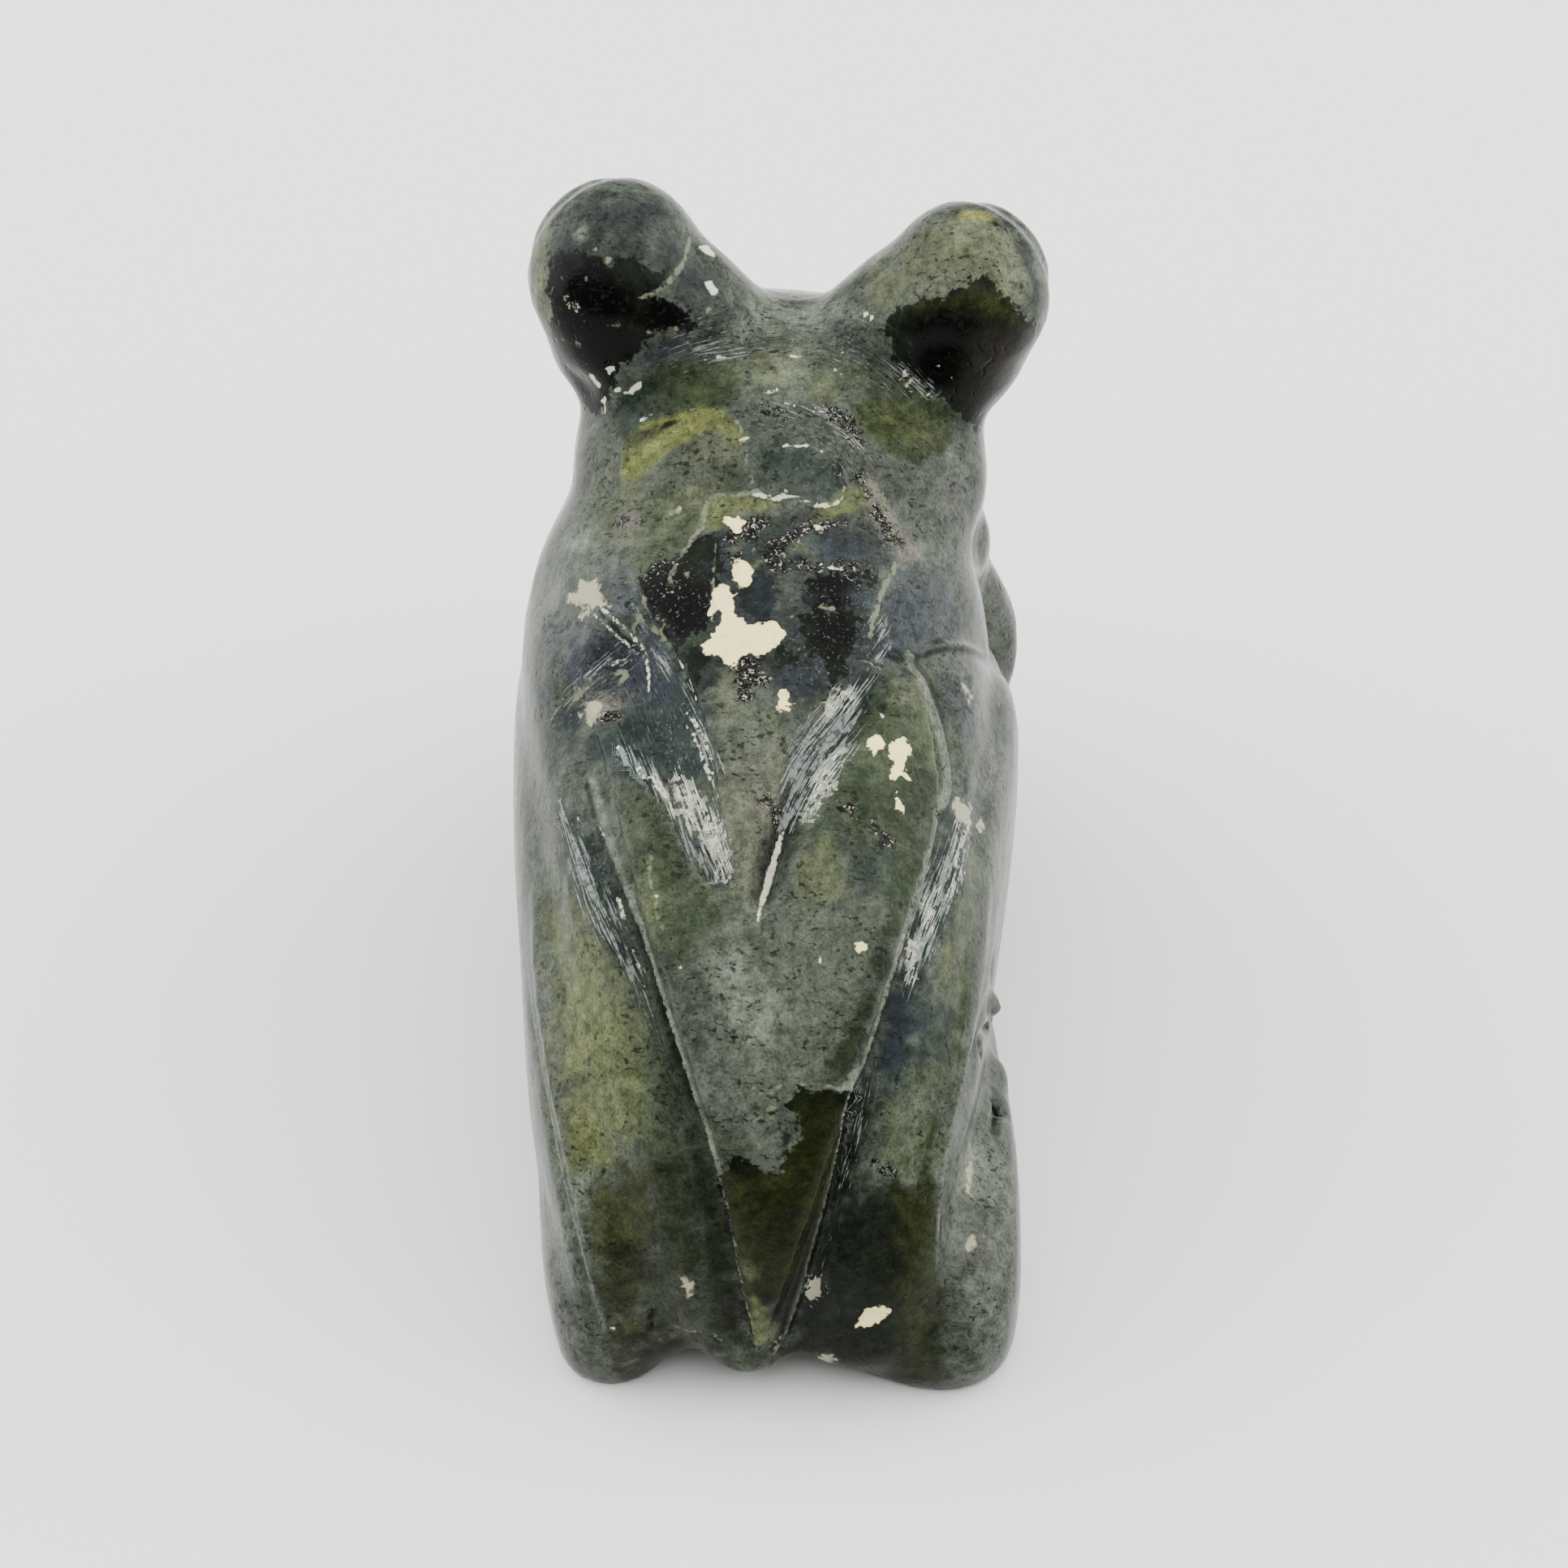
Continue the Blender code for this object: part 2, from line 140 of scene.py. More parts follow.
scoop_left_outer = traced((800, 958), (815, 985), (842, 1035), (868, 1072), (886, 1094))
scoop_right_line = traced((1030, 900), (1000, 950), (975, 1000), (958, 1050), (944, 1092), (931, 1137))
knee_right = traced((1090, 805), (1112, 810), (1130, 808), (1160, 797), (1195, 799), (1228, 818))
shin_left = traced(
    (651, 1195), (658, 1255), (668, 1310), (682, 1385), (697, 1460), (715, 1530), (730, 1590), (745, 1640),
)
shin_right = traced(
    (1220, 1205), (1206, 1250), (1196, 1290), (1187, 1330), (1174, 1385), (1165, 1435), (1158, 1490),
    (1155, 1560),
)
cracks = [
    traced((738, 765), (765, 800), (797, 852)),
    traced((752, 752), (785, 785), (820, 830)),
    traced((832, 1640), (868, 1641), (904, 1655)),
    traced((804, 1608), (801, 1635)),
]
toe_gaps = [
    traced((1219, 1264), (1212, 1272), (1207, 1284), (1210, 1300)),
    traced((1232, 1363), (1226, 1376), (1222, 1394)),
]
carved = [
    kite_left, kite_right, scoop_left_inner, scoop_left_outer, scoop_right_line, knee_right, shin_left,
    shin_right,
]

OUT_OF_REACH = 1.0
LINE_REACH = 0.006


def nearest(points, line):
    """How far each of these points is from a line, how far along it that is, and the gap between them."""
    far = np.full(len(points), OUT_OF_REACH)
    along = np.zeros(len(points))
    gaps = np.zeros((len(points), 3))
    spans = np.zeros((len(points), 3))
    low, high = line.min(axis=0) - LINE_REACH, line.max(axis=0) + LINE_REACH
    within = np.flatnonzero(np.all((points > low) & (points < high), axis=1))
    for i, (start, end) in enumerate(zip(line, line[1:])):
        span = end - start
        gap = points[within] - start
        reach = np.clip(gap @ span / (span @ span), 0, 1)
        gap = gap - reach[:, None] * span
        distance = np.linalg.norm(gap, axis=1)
        closer = distance < far[within]
        these = within[closer]
        far[these] = distance[closer]
        along[these] = (i + reach[closer]) / (len(line) - 1)
        gaps[these] = gap[closer]
        spans[these] = span
    return far, along, gaps, spans


def eased(share):
    share = np.clip(share, 0, 1)
    return share * share * (3 - 2 * share)


def read_points(source, name, count):
    read = np.empty((count, 3), np.float32)
    source.foreach_get(name, read.ravel())
    return read


# The saw's own steps beside the kite are rubbed out first, so that only the filed edges are left there.
SAW_REACH = 0.0026
SAW_RUB_PASSES = 10
points = read_points(stone.data.vertices, "co", len(stone.data.vertices))
beside_kite = stone.vertex_groups.new(name="beside the kite")
weights = np.maximum(
    eased(2 - 2 * nearest(points, kite_left)[0] / SAW_REACH),
    eased(2 - 2 * nearest(points, kite_right)[0] / SAW_REACH),
)
for index in np.flatnonzero(weights > 0):
    beside_kite.add([int(index)], float(weights[index]), "REPLACE")
rubbed = stone.modifiers.new("rubbed beside the kite", "SMOOTH")
rubbed.factor = 0.5
rubbed.iterations = SAW_RUB_PASSES
rubbed.vertex_group = beside_kite.name
bpy.ops.object.modifier_apply(modifier=rubbed.name)
stone.vertex_groups.clear()

# The skin is made finer still beside the lines, where the file left crisp edges.
FINE_REACH = 0.0014
centres = read_points(stone.data.polygons, "center", len(stone.data.polygons))
close = np.zeros(len(centres), bool)
for line in carved + cracks + toe_gaps:
    close |= nearest(centres, line)[0] < FINE_REACH
bpy.ops.object.mode_set(mode="EDIT")
bpy.ops.mesh.select_mode(type="FACE")
bpy.ops.mesh.select_all(action="DESELECT")
bpy.ops.object.mode_set(mode="OBJECT")
stone.data.polygons.foreach_set("select", close)
bpy.ops.object.mode_set(mode="EDIT")
bpy.ops.mesh.subdivide(number_cuts=1)
bpy.ops.mesh.select_all(action="DESELECT")
bpy.ops.object.mode_set(mode="OBJECT")
bpy.ops.object.shade_smooth()

places = read_points(stone.data.vertices, "co", len(stone.data.vertices))
normals = read_points(stone.data.vertex_normals, "vector", len(places))


def cut(depths):
    """Sinks each point of the skin by its depth in metres, along its normal."""
    global places, normals
    places = places - normals * depths[:, None].astype(np.float32)
    stone.data.vertices.foreach_set("co", places.ravel())
    stone.data.update()
    normals = read_points(stone.data.vertex_normals, "vector", len(places))


def beside(line):
    """How far each point of the skin is from a line on it, on which side (+1 is left), and how far along."""
    far, along, gaps, spans = nearest(places, line)
    side = np.sign(np.einsum("ij,ij->i", np.cross(normals, spans), gaps))
    return far, side, along


def spread(along, values):
    """A value that runs evenly through these, from the line's start to its end."""
    return np.interp(along, np.linspace(0, 1, len(values)), values)


LIP_REACH = 0.00045


def edge(line, low_side, sinks, reach, lip=0.00012, wall=0.00024):
    """A filed edge: a lip on the high side, then a steep wall and a slowly rising bank on the low side.

    It gives the distance of each point from the edge in millimetres, above 0 on the low side.
    """
    far, side, along = beside(line)
    signed = far * side * low_side
    bank = spread(along, sinks) * (1 - np.exp(-np.maximum(signed, 0) / wall)) * eased(1 - signed / reach)
    raised = lip * np.exp(-(far / LIP_REACH) ** 2) * np.minimum(spread(along, sinks) / max(sinks), 1)
    cut(np.where(signed > 0, bank, 0) - raised)
    return np.where(far < OUT_OF_REACH, signed, OUT_OF_REACH) * 1000


def groove(line, half_width, depths):
    """A V-shaped file cut along a line."""
    far, _, along = beside(line)
    cut(spread(along, depths) * np.clip(1 - far / half_width, 0, 1) ** 1.3)


from_kite_left = edge(kite_left, -1, (0.0002, 0.0006, 0.0008, 0.0009, 0.0010, 0.0009, 0.0005), 0.0030)
from_kite_right = edge(kite_right, 1, (0.0002, 0.0005, 0.0008, 0.0010, 0.0011, 0.0011, 0.0007), 0.0032)
edge(scoop_left_inner, -1, (0.0002, 0.0005, 0.0006, 0.0006, 0.0005, 0.0002), 0.0024, 0.00006)
edge(scoop_left_outer, 1, (0.0, 0.0003, 0.0005, 0.0002), 0.0016, 0.00005)
groove(scoop_right_line, 0.0009, (0.0, 0.0002, 0.0004, 0.0005, 0.0))
from_knee = edge(knee_right, -1, (0.0, 0.0004, 0.0006, 0.0005, 0.0002), 0.0022)
from_shin_left = edge(shin_left, -1, (0.0, 0.0004, 0.0005, 0.0005, 0.0002), 0.0022, 0.00014)
from_shin_right = edge(shin_right, 1, (0.0, 0.0003, 0.0005, 0.0005, 0.0), 0.0022, 0.00014)
for crack in cracks:
    groove(crack, 0.0004, (0.0, 0.0002, 0.0002, 0.0))
for gap in toe_gaps:
    groove(gap, 0.0007, (0.0006, 0.0005, 0.0003))

# Where the hand pressed harder or let the stone stand: (x, y, radius in mm, depth in mm), a rise if below 0.
pressed = [
    (713, 480, 2.6, 0.8), (1204, 600, 4.0, -0.5), (1209, 660, 4.0, -0.6), (674, 720, 3.0, 0.4),
    (1218, 722, 2.4, 0.5), (1223, 1196, 1.4, 0.4), (1220, 1240, 1.1, -0.9), (1218, 1265, 0.8, 0.8),
    (1228, 1318, 1.7, -0.6), (1234, 1362, 0.9, 1.1), (715, 800, 0.9, 0.12), (742, 822, 0.8, 0.14),
    (722, 838, 0.9, 0.12), (760, 868, 0.8, 0.12), (705, 862, 0.9, 0.10), (1190, 1500, 0.7, 0.10),
    (1176, 1520, 0.8, 0.12), (1201, 1488, 0.5, 0.08),
]
for (x, y, radius, depth), place in zip(pressed, touch([press[:2] for press in pressed])):
    far = np.linalg.norm(places - place, axis=1) * 1000
    cut(depth / 1000 * np.exp(-(far / radius) ** 2))

# Small pits where grains fell out of the stone: (x, y, radius in pixels).
PIT_DEPTH = 0.00025
pits = [
    (960, 1397, 8), (966, 1389, 6), (958, 1408, 5), (743, 1443, 5), (802, 1620, 6), (801, 1632, 5),
    (1040, 1333, 6), (785, 1680, 4), (1132, 1692, 5), (1155, 1004, 6), (1190, 838, 6),
]
for (x, y, radius), place in zip(pits, touch([pit[:2] for pit in pits])):
    far = np.linalg.norm(places - place, axis=1)
    cut(PIT_DEPTH * eased(1.5 - far * PIXELS_A_METRE / radius))

# The nostrils and the lids are filed a little deeper than in the solid. A lid is a ring round the way that
# the eye looks.
NOSTRILS = ((-0.0022, -0.0412, 0.0410), (0.0020, -0.0412, 0.0410))
NOSTRIL_DEPTH = 0.0007
NOSTRIL_RADIUS = 0.0008
for place in NOSTRILS:
    far = np.linalg.norm(places - place, axis=1)
    cut(NOSTRIL_DEPTH * np.exp(-(far / NOSTRIL_RADIUS) ** 2))
EYES = (((0.0137, -0.0283, 0.0571), (0.6, -0.8, 0.05)), ((-0.0149, -0.0275, 0.0568), (-0.6, -0.8, 0.05)))
EYE_REACH = 0.0105
LID_TURN = math.radians(52)
LID_DEPTH = 0.0003
LID_HALF_WIDTH = 0.0006
LID_FADE = 4
from_lids = np.full(len(places), OUT_OF_REACH)
for centre, gaze in EYES:
    away = places - centre
    far = np.linalg.norm(away, axis=1)
    turn = np.arccos(np.clip(away @ gaze / far, -1, 1))
    around = np.where(far < EYE_REACH, far * np.abs(turn - LID_TURN), OUT_OF_REACH)
    turned_away = eased(-LID_FADE * normals @ np.array(towards_camera))
    cut(LID_DEPTH * np.exp(-(around / LID_HALF_WIDTH) ** 2) * turned_away)
    from_lids = np.minimum(from_lids, around)
skin_tree = BVHTree.FromObject(stone, bpy.context.evaluated_depsgraph_get())

# The pixel where each point of the finished skin shows, and whether any other stone hides it there.
turn = np.array(camera.rotation_quaternion.to_matrix())
local = (places - np.array(camera.location)) @ turn
shows_at = np.array(aim_pixel) + focal_pixels * local[:, :2] * (1, -1) / -local[:, 2:]
CLEARANCE = 0.0004
GRAZING = 0.05
facing = normals @ np.array(towards_camera)
seen = np.zeros(len(places), bool)
for i in np.flatnonzero(facing > GRAZING):
    start = Vector(places[i] + normals[i] * CLEARANCE)
    seen[i] = skin_tree.ray_cast(start, camera.location - start)[0] is None

# The stone's colours. They are mixed on the skin in soft zones, point by point.
ASH = (0.113, 0.127, 0.099)
BRIM = (0.115, 0.130, 0.098)
SHELL = (0.110, 0.100, 0.085)
DOVE = (0.064, 0.068, 0.058)
SAGE = (0.066, 0.077, 0.056)
KHAKI = (0.072, 0.080, 0.050)
STONE = (0.046, 0.054, 0.042)
HAZE = (0.042, 0.048, 0.050)
LEAF = (0.041, 0.052, 0.029)
MOSS = (0.022, 0.031, 0.016)
GRASS = (0.032, 0.042, 0.014)
LIME = (0.085, 0.097, 0.040)
MUSTARD = (0.080, 0.090, 0.029)
CITRON = (0.150, 0.165, 0.040)
SLATE = (0.021, 0.027, 0.032)
NAVY = (0.013, 0.016, 0.023)
TEAL = (0.013, 0.020, 0.019)
GRAPHITE = (0.017, 0.020, 0.019)
OLIVE = (0.022, 0.026, 0.008)
BOTTLE = (0.005, 0.007, 0.004)
BRONZE = (0.011, 0.014, 0.004)
PINE = (0.016, 0.020, 0.011)
UMBER = (0.010, 0.008, 0.006)
COAL = (0.0015, 0.0015, 0.0015)


def clouds(size, octaves, away):
    """Noise in the stone with features of that size in millimetres, from about -1 to 1."""
    shift = Vector((away, 2 * away, 3 * away))
    scale = 1000 / size
    return np.array([noise.fractal(Vector(place) * scale + shift, 0.8, 2.0, octaves) for place in places])


broad = clouds(11.0, 4, 3.1)
blots = clouds(4.5, 4, 7.7)
ragged = clouds(1.7, 3, 1.3)
body = np.array(STONE) * (1 + 0.25 * broad[:, None])
body += eased(0.8 * blots - 0.1)[:, None] * (np.array(LEAF) - body) * 0.5
body += eased(-0.8 * blots - 0.15)[:, None] * (np.array(DOVE) - body) * 0.6

FAR_OUT = 20.0


def spots(*listed):
    """The distance in millimetres outside the nearest of these round spots: (x, y, radius) in pixels."""
    field = np.full(len(places), FAR_OUT)
    for (x, y, radius), place in zip(listed, touch([spot[:2] for spot in listed])):
        far = np.linalg.norm(places - place, axis=1) * 1000
        field = np.minimum(field, far - radius / PIXELS_A_MM)
    return field


def strip(pixels, half_widths):
    """The distance in millimetres outside a strip along a line of pixels, with half widths in pixels."""
    far, _, along = beside(traced(*pixels))
    return np.minimum(far * 1000, FAR_OUT) - spread(along, half_widths) / PIXELS_A_MM


PATCH_MARGIN = 60


def patch(*corners):
    """The distance in millimetres outside a patch with these corners in pixels, on the side that is seen."""
    corners = np.array(corners, float)
    low, high = corners.min(axis=0) - PATCH_MARGIN, corners.max(axis=0) + PATCH_MARGIN
    here = np.flatnonzero(seen & np.all((shows_at > low) & (shows_at < high), axis=1))
    x, y = shows_at[here].T
    far = np.full(len(here), np.inf)
    inside = np.zeros(len(here), bool)
    for start, end in zip(corners, np.roll(corners, -1, axis=0)):
        span = end - start
        gap = shows_at[here] - start
        reach = np.clip(gap @ span / (span @ span), 0, 1)
        far = np.minimum(far, np.linalg.norm(gap - reach[:, None] * span, axis=1))
        crossed = (start[1] > y) != (end[1] > y)
        inside ^= crossed & (x < start[0] + span[0] * (y - start[1]) / (span[1] or 1))
    field = np.full(len(places), FAR_OUT)
    field[here] = np.where(inside, -far, far) / PIXELS_A_MM
    return field


def between(signed, low, high):
    """The distance in millimetres outside the stretch between these distances from a filed edge."""
    return np.minimum(np.maximum(low - signed, signed - high), FAR_OUT)


def tint(colour, soft, rough_edge, share, *fields, skin=body):
    """Mixes a colour in where these fields are below 0, with an edge so soft and so ragged, in mm."""
    field = np.minimum.reduce(fields) + rough_edge * ragged
    skin[:] += share * eased(0.5 - field / (2 * soft))[:, None] * (np.array(colour) - skin)


# The face, the chest and the belly don't show in the photograph. They are the same stone in plainer clouds.
HIDDEN_FADE = 5
hidden = HIDDEN_FADE * (facing + GRAZING)
tint(LEAF, 1.2, 0.8, 0.8, np.maximum(4 * (0.12 - broad), hidden))
tint(SAGE, 1.2, 0.8, 0.7, np.maximum(4 * (0.22 + broad), hidden))
tint(PINE, 1.0, 1.2, 0.6, np.maximum(4 * (0.25 - blots), hidden))
tint(HAZE, 1.0, 1.2, 0.6, np.maximum(4 * (0.30 + blots), hidden))
# Painted shade darkens the mouth, the nostrils and the lids and the gaps between the fingers and the toes.
# A hollow is where a point lies below its neighbours, once these have been evened out some times over.
HOLLOW_PASSES = 8
HOLLOW_DEPTH = 0.09
LID_SHADE_REACH = 0.35
NOSTRIL_SHADE_REACH = 0.7
ends = np.empty((len(stone.data.edges), 2), np.int32)
stone.data.edges.foreach_get("vertices", ends.ravel())
here, there = ends.ravel(), ends[:, ::-1].ravel()
neighbours = np.bincount(here, minlength=len(places))
evened = places.astype(float)
for _ in range(HOLLOW_PASSES):
    evened = np.stack([np.bincount(here, evened[there, axis]) / neighbours for axis in range(3)], axis=1)
hollow = np.einsum("ij,ij->i", evened - places, normals) * 1000
tint(UMBER, 0.6, 0.0, 0.85, np.maximum(10 * (HOLLOW_DEPTH - hollow), hidden))
tint(UMBER, 0.35, 0.15, 0.8, np.maximum(np.minimum(from_lids * 1000, FAR_OUT) - LID_SHADE_REACH, hidden))
from_nostrils = np.min([np.linalg.norm(places - place, axis=1) for place in NOSTRILS], axis=0)
tint(UMBER, 0.4, 0.1, 0.9, from_nostrils * 1000 - NOSTRIL_SHADE_REACH)

# The flanks and the outer sides of the legs are grey stone with a painted sheen over it. The rump and the
# top of the neck are the palest.
tint(STONE, 2.5, 1.2, 0.85, spots(
    (702, 640, 40), (680, 700, 40), (660, 780, 40), (650, 900, 40), (655, 1050, 30), (720, 650, 34),
    (700, 790, 40),
))
tint(DOVE, 2.5, 1.2, 0.85, spots(
    (740, 600, 24), (1170, 620, 40), (1190, 700, 40), (1235, 760, 20), (1205, 860, 40), (1225, 950, 34),
    (1230, 1050, 20), (1215, 1430, 30), (1210, 1530, 34), (1205, 1620, 34), (690, 1560, 26), (700, 1640, 24),
    (1180, 830, 24),
))
# Pale ash on the right knee, the right flank and the right shoulder is partly a painted sheen.
tint(ASH, 2.5, 1.6, 0.5, spots(
    (1205, 860, 30), (1225, 950, 30), (1230, 1050, 20), (1170, 560, 16), (1205, 1440, 34), (1215, 1600, 12),
))
tint(SLATE, 1.6, 1.4, 0.6, spots((682, 920, 30), (672, 860, 26)))
tint(LEAF, 1.4, 1.2, 0.85, spots((685, 1130, 28), (678, 1080, 20)))
# Pale ash on the right flank and the left shoulder is partly a painted sheen.
tint(ASH, 1.6, 1.2, 0.7, spots((1205, 1440, 34), (1215, 1600, 12), (712, 660, 26)))
tint(PINE, 1.4, 1.2, 0.35, spots((680, 1130, 34), (682, 905, 32)))
tint(OLIVE, 1.4, 1.2, 0.3, spots((682, 1130, 30)))
tint(
    SAGE, 1.8, 1.4, 0.95,
    patch(
        (915, 1125), (960, 1135), (1040, 1105), (1090, 1130), (1075, 1190), (1050, 1260), (1030, 1330),
        (1000, 1345), (975, 1340), (945, 1400), (915, 1350), (895, 1290), (872, 1240), (858, 1190),
        (885, 1150),
    ),
    patch((900, 430), (960, 395), (1040, 400), (1060, 470), (1040, 500), (960, 490), (905, 480)),
)
# Pale ash on the rump and on the top of the head; on the head it is partly a painted highlight.
tint(
    ASH, 1.0, 1.0, 0.9,
    patch(
        (884, 1180), (908, 1176), (928, 1210), (948, 1265), (940, 1290), (912, 1272), (898, 1240),
        (880, 1205),
    ),
    spots(
        (930, 384, 16), (962, 388, 16), (1000, 382, 18), (1034, 374, 14), (1050, 340, 14), (1080, 320, 12),
        (985, 360, 30), (940, 365, 20),
    ),
)
# Leaf green runs down the back beside the scoops, over the upper kite and the outer side of the right leg.
upper_back = patch(
    (735, 600), (800, 575), (880, 560), (905, 600), (870, 640), (850, 668), (800, 700), (770, 690),
    (745, 660),
)
tint(
    LEAF, 1.2, 1.2, 0.9, upper_back,
    patch(
        (755, 960), (800, 975), (845, 1060), (900, 1100), (870, 1150), (832, 1185), (805, 1160), (775, 1090),
    ),
    patch(
        (1062, 862), (1130, 815), (1152, 870), (1170, 930), (1168, 985), (1150, 1015), (1130, 1090),
        (1105, 1160), (1085, 1100), (1040, 1030), (1010, 1040), (985, 1010), (1020, 960),
    ),
    patch(
        (1165, 1110), (1205, 1040), (1205, 1150), (1195, 1230), (1180, 1330), (1160, 1400), (1150, 1455),
        (1110, 1455), (1085, 1425), (1090, 1370), (1120, 1320), (1150, 1230),
    ),
)
tint(
    MOSS, 0.9, 1.3, 0.75,
    patch((780, 612), (840, 590), (875, 600), (855, 645), (828, 672), (795, 690), (772, 660)),
    patch((1050, 955), (1100, 965), (1152, 955), (1150, 1000), (1110, 1025), (1060, 1010), (1040, 985)),
    patch((1105, 1000), (1150, 1010), (1120, 1100), (1098, 1080)),
    patch((800, 990), (835, 1010), (850, 1050), (800, 1060)),
    spots(
        (1070, 880, 16), (1100, 862, 12), (820, 1080, 16), (860, 1130, 18), (1190, 1250, 16),
        (1180, 1300, 14),
    ),
)
tint(
    TEAL, 1.0, 1.3, 0.6,
    patch((925, 560), (965, 545), (1045, 572), (1040, 600), (1000, 605), (955, 600), (930, 592)),
    patch((1040, 1040), (1098, 1035), (1100, 1092), (1062, 1100), (1035, 1080)),
    spots((1020, 1010, 14)),
    patch((1130, 1225), (1180, 1230), (1175, 1300), (1130, 1310)),
    patch((790, 1290), (840, 1290), (860, 1390), (805, 1400)),
)
tint(
    LIME, 1.0, 1.0, 0.45,
    patch((985, 1050), (1022, 1030), (1045, 1060), (1040, 1105), (1000, 1118), (975, 1090)),
    patch((1115, 850), (1138, 835), (1160, 900), (1162, 950), (1140, 930)),
    spots(
        (930, 900, 20), (800, 1110, 18), (1170, 1180, 16), (1150, 1140, 10), (1195, 1060, 12),
        (1140, 1400, 14), (960, 450, 26), (1010, 478, 22), (1065, 925, 12), (900, 460, 12),
    ),
)
tint(KHAKI, 1.0, 1.3, 0.5, upper_back)
tint(MOSS, 0.8, 1.6, 0.6, spots(
    (800, 640, 12), (830, 612, 10), (770, 680, 12), (790, 702, 10), (850, 640, 8), (905, 592, 12),
    (752, 640, 10), (825, 665, 9), (915, 560, 8),
))
tint(DOVE, 0.5, 1.0, 0.7, spots((807, 592, 7), (865, 582, 9), (880, 575, 6)))
tint(LIME, 0.6, 1.0, 0.5, spots((850, 608, 8), (838, 618, 6)))
tint(KHAKI, 1.0, 1.2, 0.85, patch(
    (882, 830), (905, 835), (960, 885), (972, 930), (965, 1000), (948, 1060), (928, 1112), (905, 1108),
    (898, 1010), (884, 940),
))
# Pale ash across the top of the head between the eyes, partly a painted highlight.
tint(ASH, 1.0, 1.2, 0.8, strip([(905, 402), (950, 393), (1010, 391), (1050, 388)], (12, 18, 18, 10)))
tint(ASH, 1.2, 1.2, 0.45, spots(
    (985, 450, 26), (970, 490, 16), (920, 1240, 30), (905, 1200, 20), (922, 915, 26),
))
tint(SAGE, 0.9, 1.0, 0.9, spots((920, 900, 24), (925, 935, 16), (975, 490, 16)))
tint(SAGE, 0.9, 1.0, 0.6, spots((1130, 1365, 24), (1125, 1400, 14)))
tint(SHELL, 1.2, 1.4, 0.25, patch(
    (905, 945), (955, 935), (962, 1000), (940, 1060), (925, 1110), (905, 1090),
))
tint(MOSS, 1.2, 1.4, 0.5, patch(
    (1066, 870), (1128, 825), (1150, 880), (1164, 940), (1150, 1012), (1110, 1040), (1050, 1020),
    (1030, 960),
))
tint(KHAKI, 0.7, 0.8, 0.95, spots((1114, 856, 17), (1132, 840, 9)))
tint(MOSS, 0.9, 1.2, 0.8, strip([(1140, 1030), (1116, 1095), (1096, 1155), (1076, 1220)], (10, 13, 13, 14)))
tint(
    PINE, 0.6, 0.9, 0.9,
    strip([(1094, 1150), (1084, 1200), (1066, 1250), (1050, 1290), (1030, 1328)], (6, 10, 11, 12, 11)),
)
tint(
    OLIVE, 0.7, 1.0, 0.8,
    strip([(682, 1040), (700, 1085), (712, 1130)], (5, 8, 6)),
    strip([(1190, 1180), (1187, 1240), (1180, 1310)], (3, 4, 4)),
)
# The outer side of the left leg turns yellow.
tint(LIME, 2.2, 1.2, 0.75, patch(
    (692, 1140), (718, 1125), (748, 1190), (782, 1258), (798, 1320), (800, 1370), (775, 1405), (745, 1442),
    (718, 1448), (700, 1400), (690, 1300), (685, 1220),
))
tint(LIME, 1.3, 0.9, 0.9, spots(
    (715, 1270, 20), (735, 1290, 20), (708, 1300, 16), (722, 1395, 20), (738, 1420, 16), (712, 1425, 10),
))
tint(LEAF, 0.9, 1.0, 0.6, spots(
    (712, 1340, 14), (760, 1345, 16), (700, 1180, 14), (745, 1220, 14), (770, 1300, 10),
))
tint(OLIVE, 0.7, 0.8, 0.5, spots((712, 1335, 10), (705, 1170, 9), (690, 1225, 7)))
# A painted highlight in pale ash on the small facet at the left knee.
tint(ASH, 0.7, 0.4, 0.9, strip([(728, 1446), (716, 1458), (712, 1480)], (3, 7, 4)))
# The shoulders: dusty blue on the left, grey with a pink-grey band on the right.
tint(HAZE, 1.2, 1.2, 0.6, patch(
    (672, 770), (700, 755), (735, 750), (790, 790), (770, 806), (700, 806), (668, 812),
))
tint(DOVE, 0.9, 1.0, 0.6, spots((735, 690, 26), (760, 680, 16), (715, 735, 14)))
tint(
    HAZE, 0.9, 1.0, 0.85,
    patch((748, 715), (770, 700), (790, 722), (805, 755), (780, 775), (750, 750)),
    patch((1095, 700), (1160, 700), (1185, 760), (1180, 790), (1130, 795), (1090, 780), (1080, 740)),
    patch((1160, 830), (1200, 840), (1200, 900), (1170, 890)),
)
tint(
    SHELL, 0.6, 1.4, 0.65,
    strip([(1062, 592), (1085, 618), (1105, 655), (1125, 680)], (8, 12, 14, 8)),
    spots((750, 868, 13), (748, 885, 11), (776, 640, 7), (1110, 682, 10)),
)
tint(STONE, 1.0, 1.0, 0.5, patch((820, 570), (880, 560), (900, 585), (860, 600), (820, 595)))
tint(
    SLATE, 0.9, 1.2, 0.85,
    patch((782, 745), (810, 765), (838, 800), (855, 835), (820, 825), (795, 800), (772, 770)),
    strip([(1075, 800), (1100, 790), (1130, 785), (1150, 790)], (16, 16, 12, 5)),
    patch((1095, 740), (1125, 740), (1120, 780), (1092, 780)),
)
tint(
    NAVY, 0.9, 1.5, 0.9,
    patch(
        (696, 812), (728, 778), (765, 790), (795, 812), (802, 850), (775, 862), (742, 838), (715, 852),
        (690, 838),
    ),
    strip([(790, 800), (796, 840), (800, 880)], (10, 12, 10)),
    strip([(700, 870), (720, 905), (750, 925)], (5, 5, 3)),
)
